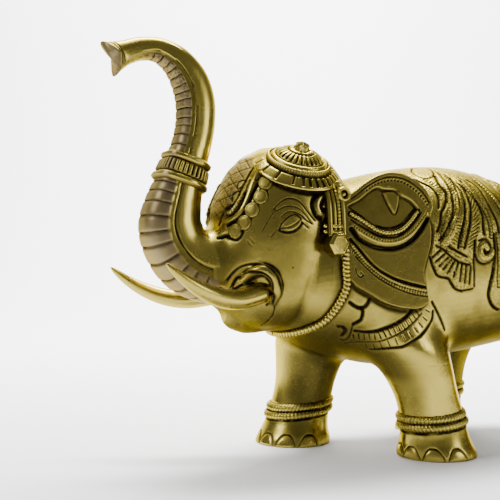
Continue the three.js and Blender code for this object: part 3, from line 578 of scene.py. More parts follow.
# Chasing on the saddle cloth and shoulder
CLOTH_CHASING = (
    # deep lines that fan out from the shoulder
    ("groove", (2.4, 1.2), (
        (4.3, -28.8, 168.2), (1.8, -35.1, 163.5), (2.1, -39, 159.9), (2.5, -41.8, 156.8),
        (0.9, -44.4, 152.9), (-2, -46.4, 149), (-5.5, -48.1, 144.9), (-7.5, -49.9, 139.7),
        (-10.4, -51.1, 134.9))),
    ("groove", (1.5, 0.9), (
        (9.2, -23, 171.5), (7.7, -31.3, 167), (7.1, -37.1, 162.4), (6.5, -41.6, 157.6),
        (5.2, -44.8, 153), (2.8, -48, 146.9), (0.2, -49.9, 141.6), (-4.4, -51.3, 136.1),
        (-10.3, -52.2, 129.9))),
    ("groove", (1.2, 0.7), (
        (12, -28.1, 169.2), (11.7, -34.6, 165), (10.7, -40.9, 158.9), (9.5, -44.2, 154.6),
        (8.8, -46.3, 151.1))),
    ("groove", (1.6, 0.9), (
        (12.9, -31.8, 167.1), (12.7, -37.6, 162.5), (13.4, -42.1, 157.8),
        (12.7, -45.4, 153.1), (10.9, -48.3, 147.8), (8.9, -50.4, 142.5), (5.8, -52.1, 136.2),
        (3.2, -53, 130.7), (1.9, -53.6, 125.6))),
    ("groove", (1.6, 0.9), (
        (14.7, -36.8, 163.4), (16.5, -40.6, 159.8), (16.1, -44.6, 154.7), (15.7, -47.4, 150.1),
        (14, -49.9, 144.8), (11.8, -51.8, 138.8), (9, -53.1, 132.5), (6.1, -53.9, 125.6))),
    ("groove", (1.8, 1.0), (
        (18.1, -34.9, 165.2), (19, -40.2, 160.3), (20.1, -44.7, 154.8), (21.2, -48, 149.5),
        (21.7, -50.6, 143.8), (20.5, -52.4, 138.2), (20.5, -53.6, 133.4))),
    ("groove", (1.8, 1.0), (
        (23.4, -34, 165.8), (26.6, -37.8, 162.6), (28, -41.3, 159), (28.3, -45.6, 153.5),
        (29.3, -49, 147.3), (31, -51.5, 141.3), (31.3, -53.3, 134.6))),
    ("groove", (1.6, 0.9), (
        (28.6, -18, 172.6), (32.8, -27.1, 168.8), (34.6, -34.7, 164.2), (36.3, -40.3, 159.4),
        (38.6, -45, 153.4), (41, -49.5, 146.4), (42.6, -53, 138), (43, -55, 129))),
    # bead rows between them
    ("beads", (2.4, 0.8, 1.9), (
        (29.4, -32.7, 166.2), (31.5, -37.6, 162.2), (33.6, -42, 158), (35.3, -45.5, 153.2),
        (37, -49, 147), (38.2, -52, 140), (38.6, -54, 132))),
    ("beads", (2.2, 0.8, 1.8), (
        (16.5, -37.5, 162.9), (18.9, -42, 158), (20.9, -45.8, 153.3), (23.7, -48.4, 148.8),
        (24.9, -50.6, 143.8), (25.5, -52.5, 138.2), (25.2, -54.1, 132))),
    ("beads", (2.2, 0.7, 1.8), (
        (4.6, -39, 160.5), (4.4, -42.4, 156.4), (2.8, -44.1, 153.7), (2.1, -46.8, 149.1),
        (-0.4, -48.5, 145.3), (-3.8, -50.3, 139.8), (-7.8, -51.7, 133.1))),
    ("beads", (2.0, 0.7, 1.7), (
        (9.2, -39, 161), (8.7, -43.6, 155.3), (6.5, -47.1, 149.2), (4.8, -48.8, 145.4),
        (2.3, -50.1, 141.7), (-2.6, -51.9, 134.3), (-8.9, -52.6, 128.1))),
    ("beads", (2.0, 0.7, 1.6), (
        (13.9, -45.4, 153.5), (13.2, -48.2, 149), (11.5, -49.9, 144.5), (9.9, -51.3, 139.9),
        (7.1, -52.6, 134.3), (4.2, -53.7, 127))),
    ("ticks", (3.4, 0.6, 2.0, 0.9), (
        (4.6, -50.5, 141.6), (4.2, -52, 136.6), (0.8, -52.9, 131.2), (-1.5, -53.3, 127.6))),
    ("ticks", (4.4, 0.8, 2.6, 1.2, 1.3), (
        (17.3, -45.4, 153.6), (18, -47.9, 149.4), (17.4, -50.5, 143.7), (15.6, -52.2, 138.1),
        (13, -53.3, 132.6), (10.6, -54, 127))),
    ("ticks", (3.6, 0.6, 2.2, 0.9, 0.8), (
        (9.8, -26, 170.2), (9.9, -33, 165.8), (9.2, -38.6, 161.4), (8.2, -42.6, 156.8))),
    ("ticks", (3.2, 0.6, 2.2, 0.9, -0.8), (
        (19.8, -32, 167.4), (21.8, -37.5, 163.2), (23.6, -42.2, 158.4), (24.6, -45.7, 154),
        (25.6, -48.8, 148.4))),
    # fan-shaped hem
    ("groove", (1.7, 0.9), (
        (-12.5, -52.4, 127), (-8.3, -53, 125.1), (-3.7, -53.6, 121.3), (1.1, -54, 118.4),
        (4, -54.2, 117.1), (9.4, -54.5, 116.3))),
    ("beads", (1.8, 0.5, 1.6), (
        (-5, -53.2, 125.1), (0.2, -53.8, 122.4), (6, -54.3, 119.9), (10.5, -54.5, 118.2))),
    ("groove", (1.6, 0.9), (
        (-4.1, -53.1, 126.6), (1.3, -53.8, 123.8), (7, -54.3, 121))),
    ("groove", (1.8, 0.9), (
        (-16.7, -52.8, 120.5), (-14, -53.2, 113.5), (-11.1, -53.4, 109.8),
        (-4.7, -53.6, 108.5), (-2.6, -53.5, 105.9), (0.6, -53.2, 102.5), (4.7, -53.3, 101.4),
        (12.3, -53.6, 102.4))),
    ("groove", (1.9, 1.0), (
        (13.6, -54, 130), (13.3, -54.1, 127.6), (12.4, -54.6, 119.2), (12.8, -54.5, 110.8),
        (13.3, -53.9, 103.9))),
    # scroll and hanging border
    ("groove", (1.8, 0.9), (
        (13.3, -54.6, 122.2), (15, -54.7, 118.4), (19.1, -54.9, 116.6), (24.3, -55, 118.1),
        (25.9, -54.9, 120))),
    ("ridge", (3.6, 1.0), (
        (25.4, -54.8, 124), (23.6, -54.9, 121.4), (19.4, -54.9, 120.2), (17.2, -54.7, 122.6),
        (17.4, -54.5, 126), (20, -54.4, 127.6), (21.6, -54.5, 125.8))),
    ("groove", (1.5, 0.8), (
        (16.4, -54.1, 130), (20.8, -54.1, 131), (23.6, -54.4, 128.4), (23.9, -54.7, 125.6))),
    ("groove", (2.2, 1.0), (
        (27, -53.6, 133.7), (27.2, -54.7, 125.6), (26.9, -55, 119.2), (25.8, -54.8, 110.7),
        (24.5, -54.1, 104.3), (24.6, -52.7, 97.9), (28.8, -50.8, 92.2), (34.2, -49.4, 89.4))),
    ("beads", (2.2, 0.8, 1.9), (
        (29.7, -53.6, 133.7), (30.1, -54.5, 127.7), (30.2, -54.9, 119.2),
        (29.8, -54.7, 110.7), (30.7, -54.3, 104))),
    # crease behind the foreleg
    ("groove", (1.8, 0.9), (
        (-14.1, -52.9, 95.1), (-9.5, -51.8, 89), (-5.9, -50.4, 84.2), (-2.5, -48.5, 79))),
    # leaf and coil on the shoulder
    ("groove", (1.3, 0.7), (
        (-1.1, -13, 173.4), (6.8, -12.1, 174.2), (7.7, -19.8, 172.4), (3.6, -28.6, 168.2),
        (-2.8, -30.7, 166.1), (-6.6, -28, 167.2), (-6.6, -20.9, 170.5), (-1.1, -13, 173.4))),
    ("groove", (2.0, 1.0), (
        (-10.8, -29.9, 165.4), (-8.6, -33.4, 163.2), (-5.2, -37, 160.5), (-3.7, -40.6, 157),
        (-3.9, -43.4, 153.2), (-6.1, -46.4, 148.1))),
    ("ticks", (4.0, 0.6, 1.9, 0.8), (
        (-4.6, -31.9, 164.6), (-1.6, -36.4, 161.4), (-0.9, -39.6, 158.4), (-2.3, -43, 154.4))),
)
FAN_TOPS = np.array([
    (-9.8, -53, 124.6), (-5, -53.6, 120.3), (-0.6, -53.9, 118.4), (4.1, -54.2, 116.3),
    (10, -54.5, 115.5),
])
FAN_ENDS = np.array([
    (-15.3, -52.9, 120.5), (-11, -53.4, 115.5), (-5.7, -53.6, 111.5), (2.9, -53.8, 107),
    (9.5, -53.9, 105.3),
])
FAN_CUTS = 9
FAN_CUT = (1.5, 0.8)
CLOTH_OUTLINE = (
    (-60, 182), (-62, 152), (-30, 149), (-14, 140), (-15, 128), (-16.7, 120.5), (-14, 113.5),
    (-11.1, 109.8), (-4.7, 108.5), (-2.6, 105.9), (0.6, 102.5), (4.7, 101.4), (12.6, 102.2),
    (13, 112), (13.4, 119.5), (15.2, 117.4), (19.1, 116.2), (24.3, 117.4), (26.3, 117),
    (25.8, 110.7), (24.5, 104.3), (24.6, 97.9), (28.8, 92.2), (36, 90), (44, 96), (52, 103),
    (60, 96), (70, 91), (80, 96), (88, 103), (96, 98), (106, 94), (116, 101), (124, 112),
    (127, 124), (122, 150), (90, 182),
)

# Plumes on the rear of the cloth: how many, where the first starts, their distance, how far
# they sweep back and where they stop, and how far round the flank they run
REAR_PLUMES = 7
PLUME_START = 39.0
PLUME_PITCH = 11.5
PLUME_SWEEP = (9.0, -4.0)
PLUME_STOP = 128.0
PLUME_TURN = (0.25, 1.3, -0.03)
PLUME_STROKES = (
    (0.0, "groove", (1.7, 0.9)),
    (2.9, "beads", (2.2, 0.8, 1.9)),
    (5.7, "groove", (1.5, 0.8)),
    (8.6, "ticks", (3.8, 0.7, 2.6, 1.1, 1.2)),
)

# Net of the cap: where it fades out on the side, below and behind, from nothing to full
NET_SIDE = (-17, -14)
NET_FOOT = (138, 143)
NET_REAR = (-104, -107)
NET_LINE_HALF = 0.55
NET_LINE_DARK = 0.85
NET_GRAIN = 0.8
NET_DULL = 0.75
NET_DARK = 0.75
NET_DARK_HEIGHTS = (154, 138)

# Net of the cap: planes that cut its lines, with their distance and spacing
NET_LINES = (
    ((0.366, 0.315, 0.875), 103.8, 8.2),
    ((0.517, -0.461, 0.721), 66.1, 6.4),
)

# The casting is a field of distances to the smooth union of its forms, on a 1 mm grid: the
# grid's lowest corner and size, and how far out from a form the distances go
FIELD_LOW = np.array((-200, -66, 0))
FIELD_SIZE = np.array((364, 132, 246))
REACH = 12.0

# Painted shade: how dark faces turned down and the inner sides of the legs low down are painted,
# where shade falls under the body
HIDDEN_SIDE_PAINTED_SHADE = 0.75

# Vertices compared with a route at a time, and how far off the surface a stroke still cuts
BATCH = 4000
STROKE_REACH = 7.0

# Rounds of averaging that tell hollows from raised places
HOLLOW_ROUNDS = 8

# Adaptivity of the skin: low enough to merge nothing but the flat cuts between regions
FLAT_ONLY = 2e-6

# Neighbouring regions of skin overlap, and each dips a little under the other at its end
SEAM_DROP = 0.35
SEAM_WIDTH = 1.6

# Regions of the skin, each a box with its lowest and highest corner, and the step of its mesh
BODY_SKINS = (
    ("shoulder_left", (-70, -66, 58), (44, 2, 182), 0.55),
    ("rump_left", (40, -66, 58), (150, 2, 182), 1.0),
    ("body_right", (-70, -2, 58), (150, 66, 182), 1.25),
    ("legs", (-75, -66, LEG_SEAM), (150, 66, 62), 1.2),
)
HEAD_SKINS = (
    ("head_left", (-134, -60, 58), (-66, 2, 192), 0.55),
    ("head_right", (-134, -2, 58), (-66, 60, 192), 1.0),
)

# Stage, in metres: the floor sweeps up behind the statue. Places are to the right of the
# statue, ahead of it and above the floor, as the camera looks
SWEEP_FRONT = 1.6
SWEEP_SIDE = 3.2
SWEEP_AT = 1.1
SWEEP_BEND = 0.7
SWEEP_TOP = 2.4
CAMERA_TURN = math.radians(25)
CAMERA_PLACE = (-0.3147, -0.4939, 0.1167)
CAMERA_LENS = 68.4
CAMERA_SENSOR = 36
CAMERA_SHIFT = 0.01

# Lamps: name, place, where it points, width, its power setting and the share of it
LAMPS = (
    ("backdrop", (0, 0.5, 1.5), (0, 1.9, 0.35), 1.0, "backdrop_power", 1.0),
    ("top", (-0.1, 0.05, 1.4), (0, 0, 0), 0.6, "top_power", 1.0),
    ("left", (-0.95, -0.45, 0.85), (0, 0, 0.12), 0.45, "side_power", 1.0),
    ("right", (1.25, -0.6, 0.42), (0, 0, 0.17), 0.5, "side_power", 0.5),
)


def smooth(table, t):
    """Rows of a table at places t from 0 to 1: a Catmull-Rom curve through each column."""
    table = np.asarray(table, float)
    last = len(table) - 1
    at = np.clip(np.asarray(t, float), 0, 1) * last
    i = np.minimum(at.astype(int), last - 1)
    f = (at - i)[..., None]
    before = np.vstack([2 * table[:1] - table[1:2], table, 2 * table[-1:] - table[-2:-1]])
    p0, p1, p2, p3 = (before[i + k] for k in range(4))
    bend = f * (2 * p0 - 5 * p1 + 4 * p2 - p3 + f * (3 * (p1 - p2) + p3 - p0))
    return p1 + 0.5 * f * (p2 - p0 + bend)


def smooth_at(table, column, value):
    """Rows of a table where one rising or falling column has the given values."""
    t = np.linspace(0, 1, 600)
    rows = smooth(table, t)
    key = rows[:, column]
    if key[-1] < key[0]:
        key, t = key[::-1], t[::-1]
    return smooth(table, np.interp(value, key, t))


def around(turn, square):
    """Cosine and sine pushed out towards a square: 2 is a circle, more is squarer."""
    c, s = np.cos(turn), np.sin(turn)
    power = 2 / square
    return np.sign(c) * np.abs(c) ** power, np.sign(s) * np.abs(s) ** power


def ease(low, high, value):
    """0 below low, 1 above high and a smooth S between."""
    t = np.clip((value - low) / (high - low), 0, 1)
    return t * t * (3 - 2 * t)


def unit(vectors):
    """Vectors at length one."""
    return vectors / np.maximum(np.linalg.norm(vectors, axis=-1, keepdims=True), 1e-9)


def grid_faces(rows, columns, wrap=True, first=0):
    """Quads of a grid of points, stored row by row; wrap joins the last column to the first."""
    across = np.arange(columns if wrap else columns - 1)
    down = np.arange(rows - 1)[:, None] * columns + first
    following = (across + 1) % columns
    quads = [down + across, down + following, down + columns + following, down + columns + across]
    return np.stack(quads, -1).reshape(-1, 4)


def shell(rings):
    """A closed shell through rings of points, each end closed by a fan about its middle."""
    rows, columns, _ = rings.shape
    points = np.vstack([rings.reshape(-1, 3), rings[0].mean(0), rings[-1].mean(0)])
    side = np.arange(columns)
    following = (side + 1) % columns
    start, base = rows * columns, (rows - 1) * columns
    first_fan = np.stack([np.full(columns, start), following, side], -1)
    last_fan = np.stack([np.full(columns, start + 1), base + side, base + following], -1)
    return points, grid_faces(rows, columns), np.vstack([first_fan, last_fan])


def bar(table, steps=60, sides=24, grow=0.0):
    """A round bar: circles whose middle and radius follow a smooth table, square to the route."""
    rows = smooth(table, np.linspace(0, 1, steps))
    radius = (rows[:, 3:] + grow)[..., None]
    ahead = unit(np.gradient(rows[:, :3], axis=0))
    across = unit(np.cross((0.0, 1.0, 0.0), ahead))
    third = np.cross(ahead, across)
    turn = np.linspace(0, 2 * np.pi, sides, endpoint=False)[None, :, None]
    ring = np.cos(turn) * across[:, None] + np.sin(turn) * third[:, None]
    return rows[:, None, :3] + radius * ring


def cord(table, steps, sides, pitch, depth, lay=1.0):
    """A twisted cord: a bar with slanting grooves, and how dark each place is."""
    middle = smooth(table, np.linspace(0, 1, steps))[:, :3]
    along = np.concatenate([[0], np.cumsum(np.linalg.norm(np.diff(middle, axis=0), axis=1))])
    turn = np.linspace(0, 2 * np.pi, sides, endpoint=False)[None, :]
    strand = np.abs(np.sin(np.pi * along[:, None] / pitch + 0.5 * lay * turn)) ** 0.6
    return bar(table, steps, sides, -depth * (1 - strand)), np.clip(1.25 - 1.8 * strand, 0, 1)


def lathe(middle, axis, profile, columns, grow=0.0):
    """Rings around an axis: the profile gives radius and place along the axis."""
    forward = np.array((1.0, 0.0, 0.0))
    aside = np.cross(axis, forward)
    turn = np.linspace(0, 2 * np.pi, columns, endpoint=False)[None, :, None]
    outward = np.cos(turn) * forward + np.sin(turn) * aside
    radius = (profile[:, :1] + np.zeros((1, columns)))[..., None]
    up = (profile[:, 1:] + grow)[..., None]
    return middle + radius * outward + up * axis


def mirrored(points):
    """The same points on the other side of the animal."""
    return points * np.array((1.0, -1.0, 1.0))


def on_side(side, points):
    """Points of the left side as they are, or mirrored for the right side."""
    return points if side == "left" else mirrored(points)


def torso_points(x, turn, proud=0.0):
    """Torso: at each place a rounded oval between back and belly. Turn 0 is the back."""
    rows = smooth_at(TORSO, 0, x)
    c, s = around(turn, TORSO_SQUARE)
    middle = (rows[..., 1] + rows[..., 2]) / 2
    tall = (rows[..., 1] - rows[..., 2]) / 2 + proud
    return np.stack([x + 0 * s, (rows[..., 3] + proud) * s, middle + tall * c], -1)


def torso_rings(steps=90, sides=96):
    """The whole torso as rings from chest to rump."""
    x = smooth(TORSO, np.linspace(0, 1, steps))[:, :1]
    turn = np.linspace(0, 2 * np.pi, sides, endpoint=False)[None, :]
    return torso_points(np.broadcast_to(x, (steps, sides)), np.broadcast_to(turn, (steps, sides)))


def head_rings(steps=80, sides=96):
    """Head: level ovals that reach forward and back by different amounts."""
    rows = smooth(HEAD, np.linspace(0, 1, steps))[:, None, :]
    turn = np.linspace(0, 2 * np.pi, sides, endpoint=False)[None, :]
    c, s = around(turn, HEAD_SQUARE)
    reach = np.where(c < 0, rows[..., 3] - rows[..., 1], rows[..., 2] - rows[..., 3])
    return np.stack([rows[..., 3] + reach * c, rows[..., 4] * s, rows[..., 0] + 0 * s], -1)


def leg_point(leg, foot_x, foot_y, slant, z, turn, proud=0.0):
    """Leg: a level oval at height z, shifted inwards and slanted back to the body."""
    rows = smooth_at(leg, 0, z)
    lean = slant * (np.maximum(z, 0) / leg[-1, 0]) ** SLANT_BEND
    x = foot_x + rows[..., 1] + lean + np.cos(turn) * (rows[..., 3] * SOLE_RADIUS + proud)
    inwards = -np.sign(foot_y) * rows[..., 2]
    y = foot_y + inwards + np.sin(turn) * (rows[..., 4] * SOLE_RADIUS + proud)
    return np.stack([x, y, z + 0 * turn], -1)


def leg_rings(leg, foot_x, foot_y, slant, steps=90, sides=64):
    """One whole leg as rings from its sole into the body."""
    z = smooth(leg, np.linspace(0, 1, steps))[:, :1]
    turn = np.linspace(0, 2 * np.pi, sides, endpoint=False)[None, :]
    z, turn = np.broadcast_arrays(z, turn)
    return leg_point(leg, foot_x, foot_y, slant, z, turn)


def trunk_route(share):
    """Middle, direction, mouth side and half sizes of the trunk at shares of its length."""
    t = np.linspace(0, 1, 1200)
    rows = smooth(TRUNK, t)
    run = np.concatenate([[0], np.cumsum(np.hypot(*np.diff(rows[:, :2], axis=0).T))])
    rows = smooth(TRUNK, np.interp(np.asarray(share) * run[-1], run, t))
    dense = smooth(TRUNK, np.interp(np.linspace(0, 1, 1200) * run[-1], run, t))[:, :2]
    slope = unit(np.gradient(dense, axis=0))
    along = np.stack([np.interp(share, np.linspace(0, 1, 1200), slope[:, k]) for k in (0, 1)], -1)
    along = unit(along)
    zero = np.zeros_like(along[..., 0])
    middle = np.stack([rows[..., 0], zero, rows[..., 1]], -1)
    ahead = np.stack([along[..., 0], zero, along[..., 1]], -1)
    mouth_side = np.stack([-along[..., 1], zero, along[..., 0]], -1)
    return middle, ahead, mouth_side, rows[..., 2], rows[..., 3], run[-1]


def field_of(rings):
    """Distance in mm to one closed form, on the field's 1 mm grid, as far out as REACH."""
    points, quads, fans = shell(rings)
    grid = openvdb.FloatGrid.createLevelSetFromPolygons(
        points.astype(np.float32),
        triangles=fans.astype(np.uint32),
        quads=quads.astype(np.uint32),
        transform=openvdb.createLinearTransform(voxelSize=1.0),
        halfWidth=REACH,
    )
    field = np.full(FIELD_SIZE, REACH, np.float32)
    grid.copyToArray(field, ijk=tuple(int(v) for v in FIELD_LOW))
    return field


def melt(a, b, width):
    """Smooth union: the lesser distance, rounded off where both are within width."""
    if width <= 0:
        return np.minimum(a, b)
    h = np.clip(0.5 + 0.5 * (b - a) / width, 0, 1)
    return b + h * (a - b) - width * h * (1 - h)


def melt_in(field, rings, width, both=False):
    """Adds a form to the field, and its mirror image where both sides have it."""
    forms = [rings, mirrored(rings)] if both else [rings]
    for form in forms:
        low = np.floor(form.reshape(-1, 3).min(0) - REACH - FIELD_LOW).astype(int)
        high = np.ceil(form.reshape(-1, 3).max(0) + REACH - FIELD_LOW).astype(int)
        low, high = np.maximum(low, 0), np.minimum(high, FIELD_SIZE)
        spot = tuple(slice(a, b) for a, b in zip(low, high))
        field[spot] = melt(field[spot], field_of(form)[spot], width)
    return field


@functools.cache
def casting():
    """The casting's field, worked out once: torso, legs, head, trunk root, lip and tusk folds."""
    field = field_of(torso_rings())
    for _, leg, x, y, slant, _ in FEET:
        melt_in(field, leg_rings(leg, x, y, slant), 9)
    head = field_of(head_rings())
    share = np.linspace(0, COLLAR_AT - 0.02, 60)
    melt_in(head, trunk_rings(share, 72, -0.35)[0], 9)
    melt_in(head, bar(LIP), 5)
    melt_in(head, bar(SOCKET_FOLD), 2, both=True)
    return melt(field, head, 2.5)


def trunk_section(sides):
    """Section of the trunk at even steps around it: squarer towards the mouth, round behind."""
    turn = np.linspace(0, 2 * np.pi, 6001)
    c, s = around(turn, np.where(np.cos(turn) > 0, TRUNK_MOUTH_SQUARE, TRUNK_BACK_SQUARE))
    run = np.concatenate([[0], np.cumsum(np.hypot(np.diff(c), np.diff(s)))])
    even = np.linspace(0, run[-1], sides, endpoint=False)
    return np.interp(even, run, c)[None, :], np.interp(even, run, s)[None, :]


def trunk_rings(share, sides, proud=0.0):
    """Trunk: its section carried along its route, its sides drawn back at the tip."""
    middle, ahead, mouth_side, deep, wide, length = trunk_route(share)
    c, s = trunk_section(sides)
    end = ease(0.955, 1, share)[:, None]
    points = middle[:, None] + (c * (deep[:, None] + proud))[..., None] * mouth_side[:, None]
    points[..., 1] += s * (wide[:, None] + proud)
    points -= (TIP_NOTCH * end * (1 - np.abs(c)))[..., None] * ahead[:, None]
    return points, c, length


def resample(field, low, high, step):
    """The field on a finer grid between two corners, by cubic weights along each axis."""
    result = field
    counts = []
    for axis in range(3):
        places = np.arange(low[axis], high[axis] + step, step)
        at = places - FIELD_LOW[axis]
        i = np.floor(at).astype(int)
        f = at - i
        weights = np.zeros((len(places), FIELD_SIZE[axis]), np.float32)
        cubic = (
            -0.5 * f + f**2 - 0.5 * f**3,
            1 - 2.5 * f**2 + 1.5 * f**3,
            0.5 * f + 2 * f**2 - 1.5 * f**3,
            -0.5 * f**2 + 0.5 * f**3,
        )
        for k, share in enumerate(cubic):
            column = np.clip(i + k - 1, 0, FIELD_SIZE[axis] - 1)
            np.add.at(weights, (np.arange(len(places)), column), share)
        used = np.flatnonzero(weights.any(0))
        weights = weights[:, used[0]:used[-1] + 1]
        part = np.take(result, np.arange(used[0], used[-1] + 1), axis=axis)
        result = np.moveaxis(np.tensordot(weights, part, axes=(1, axis)), 0, axis)
        counts.append(places)
    return result, counts


def skin(field, low, high, step):
    """The casting's surface between two corners, cut flat there: points, quads, triangles."""
    margin = 3 * step
    values, places = resample(field, np.array(low) - margin, np.array(high) + margin, step)
    axes = np.meshgrid(*places, indexing="ij", sparse=True)
    for axis, place in enumerate(axes):
        outside = np.maximum(low[axis] - place, place - high[axis])
        values = values + SEAM_DROP * ease(-SEAM_WIDTH, 0, outside)
        values = np.maximum(values, outside)
    grid = openvdb.FloatGrid(REACH)
    grid.copyFromArray(np.ascontiguousarray(values, np.float32))
    points, triangles, quads = grid.convertToPolygons(0.0, FLAT_ONLY)
    origin = np.array([p[0] for p in places])
    return points * step + origin, quads.astype(np.int64), triangles.astype(np.int64)


# Relief: strokes of chasing laid on a surface
def route(points, step=0.35):
    """A smooth route through points: places every step mm, directions and lengths along."""
    points = np.asarray(points, float)
    dense = smooth(points, np.linspace(0, 1, 40 * len(points)))
    run = np.concatenate([[0], np.cumsum(np.linalg.norm(np.diff(dense, axis=0), axis=1))])
    along = np.linspace(0, run[-1], max(int(run[-1] / step), 2) + 1)
    places = np.stack([np.interp(along, run, dense[:, k]) for k in range(3)], -1)
    return places, unit(np.gradient(places, axis=0)), along


class Relief:
    """What chasing does to each vertex: height in mm, and how dark, dull and grainy it leaves it.
    The darkness starts with painted shade on faces turned down and on the inner sides of the legs.

    With mirror, vertices on the right side are cut by the routes of the left side.
    """

    def __init__(self, points, normals, mirror=True):
        flip = np.where((points[:, 1] > 0) & mirror, -1.0, 1.0)[:, None]
        side = np.hstack([np.ones_like(flip), flip, np.ones_like(flip)])
        self.points, self.normals = points * side, normals * side
        self.height = np.zeros(len(points))
        # Painted shade: faces turned down above the feet, and the inner sides of the legs low down,
        # start dark where shade falls under the body
        inwards = -normals[:, 1] * np.sign(points[:, 1]) * ease(80, 60, points[:, 2])
        below = -normals[:, 2] * ease(45, 55, points[:, 2])
        self.dark = HIDDEN_SIDE_PAINTED_SHADE * ease(-0.05, 0.65, np.maximum(inwards, below))
        self.dull = np.zeros(len(points))
        self.grain = np.zeros(len(points))

    def lay(self, chasing):
        """Cuts every stroke of a table."""
        for kind, sizes, points in chasing:
            getattr(self, kind)(points, *sizes)

    def disc(self, middle, radius, height=0.9):
        """A round plate with a turned line inside its rim and a dark line around it."""
        t = np.linalg.norm(self.points - middle, axis=1) / radius
        which = np.flatnonzero(t < 1.4)
        t = t[which]
        line = np.exp(-((t - 0.76) / 0.07) ** 2)
        self.height[which] = np.where(t < 1.06, 0, self.height[which])
        self.height[which] += height * ease(1.08, 0.94, t) - 0.3 * line
        around_it = np.exp(-((t - 1.12) / 0.12) ** 2)
        shade = np.where(t < 1, np.maximum(0.9 * line, 0.45), around_it)
        self.dark[which] = np.where(t < 1, shade, np.maximum(self.dark[which], shade))

    def near(self, points, reach):
        """Vertices near a route: their numbers, distance along, aside with its sign, and off."""
        places, ahead, along = route(points)
        low, high = places.min(0) - reach - 3, places.max(0) + reach + 3
        which = np.flatnonzero(((self.points > low) & (self.points < high)).all(1))
        best = np.empty(len(which), int)
        for start in range(0, len(which), BATCH):
            part = self.points[which[start:start + BATCH]].astype(np.float32)
            gap = part[:, None] - places[None].astype(np.float32)
            best[start:start + BATCH] = (gap * gap).sum(-1).argmin(1)
        offset = self.points[which] - places[best]
        forward = (offset * ahead[best]).sum(-1)
        across = np.cross(self.normals[which], ahead[best])
        aside = (offset * unit(across)).sum(-1)
        over = np.where(best == 0, np.maximum(-forward, 0), 0)
        over = np.where(best == len(places) - 1, np.maximum(forward, 0), over)
        raised = np.abs((offset * self.normals[which]).sum(-1))
        off = np.hypot(aside, over) + 100 * (raised > STROKE_REACH)
        keep = off < reach
        return which[keep], along[best[keep]] + forward[keep], aside[keep], off[keep]

    def groove(self, points, width=1.1, depth=0.45, dark=1.0):
        """A cut with a rounded floor, dark at the bottom."""
        which, _, _, off = self.near(points, width)
        t = np.clip(off / (0.5 * width), 0, 1)
        self.height[which] -= depth * (1 - t * t) ** 2
        shade = dark * np.clip(1.5 - off / (0.55 * width), 0, 1)
        self.dark[which] = np.maximum(self.dark[which], shade)

    def ridge(self, points, width=3.0, height=1.0, edge=0.8):
        """A raised cord with dark lines along its feet."""
        which, _, _, off = self.near(points, 0.5 * width + 1.2)
        t = off / (0.5 * width)
        self.height[which] += height * np.sqrt(np.clip(1 - t * t, 0, 1))
        shade = edge * np.exp(-((t - 1.1) / (1.0 / width)) ** 2)
        self.dark[which] = np.maximum(self.dark[which], shade)

    def beads(self, points, width=2.0, height=0.7, pitch=1.7):
        """A row of round beads, dark between them."""
        which, along, _, off = self.near(points, 0.5 * width + 0.8)
        t = off / (0.5 * width)
        u = 2 * ((along / pitch) % 1) - 1
        ball = np.sqrt(np.clip(1 - t * t - 0.8 * u * u, 0, 1))
        self.height[which] += height * ball
        shade = np.clip(1.5 - 2.1 * ball, 0, 1) * (t < 1.4)
        self.dark[which] = np.maximum(self.dark[which], shade)

    def pricks(self, points, width=1.6, depth=0.6, pitch=1.9):
        """A row of round dents, dark inside."""
        which, along, _, off = self.near(points, 0.5 * width + 0.4)
        u = (((along / pitch) % 1) - 0.5) * pitch
        ball = np.clip(1 - (off**2 + u**2) / (0.5 * width) ** 2, 0, 1)
        self.height[which] -= depth * ball
        self.dark[which] = np.maximum(self.dark[which], np.clip(1.5 * ball, 0, 1))

    def panel(self, outline, height, soft=1.0, dark=0.0, edge=0.8):
        """Raises or sinks all inside an outline of x and z, seen from the side."""
        outline = np.asarray(outline, float)
        loop = smooth(np.vstack([outline, outline[:1]]), np.linspace(0, 1, 16 * len(outline)))
        low, high = loop.min(0) - 2, loop.max(0) + 2
        flat = self.points[:, ::2]
        facing = self.normals[:, 1] < -0.05
        which = np.flatnonzero(((flat > low) & (flat < high)).all(1) & facing)
        spot = flat[which]
        gap = np.full(len(which), 1e9)
        inside = np.zeros(len(which), bool)
        for a, b in zip(loop[:-1], loop[1:]):
            side = b - a
            share = np.clip((spot - a) @ side / max(side @ side, 1e-9), 0, 1)
            gap = np.minimum(gap, np.linalg.norm(spot - a - share[:, None] * side, axis=1))
            if a[1] != b[1]:
                level = (spot[:, 1] > a[1]) != (spot[:, 1] > b[1])
                inside ^= level & (spot[:, 0] < a[0] + (spot[:, 1] - a[1]) * side[0] / side[1])
        signed = np.where(inside, gap, -gap)
        lift = ease(-0.5 * soft, 0.5 * soft, signed)
        self.height[which] += height * lift
        rim = edge * np.exp(-((signed * np.sign(height) + 0.5) / 0.9) ** 2)
        self.dark[which] = np.maximum(self.dark[which], np.maximum(rim, dark * lift))

    def ticks(self, points, width=3.0, depth=0.4, pitch=2.0, cut=0.8, slant=0.0):
        """Short cuts across a band, evenly spaced."""
        which, along, aside, off = self.near(points, 0.5 * width + 0.3)
        place = (along + slant * aside) / pitch
        from_cut = np.abs((place % 1) - 0.5) * pitch / (0.5 * cut)
        inside = ease(0.5 * width + 0.2, 0.5 * width - 0.4, off)
        mark = np.clip(1 - from_cut * from_cut, 0, 1) ** 1.5 * inside
        self.height[which] -= depth * mark
        self.dark[which] = np.maximum(self.dark[which], np.clip(1.3 * mark, 0, 1))


# Meshes and materials
def corner_normals(points, faces):
    """Normals of the vertices: the sum of those of the faces around each, by area."""
    a, b, c = (points[faces[:, k]] for k in (0, 1, 2))
    d = points[faces[:, -1]]
    face = np.cross(c - a, d - b) if faces.shape[1] == 4 else np.cross(b - a, c - a)
    total = np.zeros_like(points)
    for k in range(faces.shape[1]):
        for axis in range(3):
            total[:, axis] += np.bincount(faces[:, k], face[:, axis], len(points))
    return unit(total)


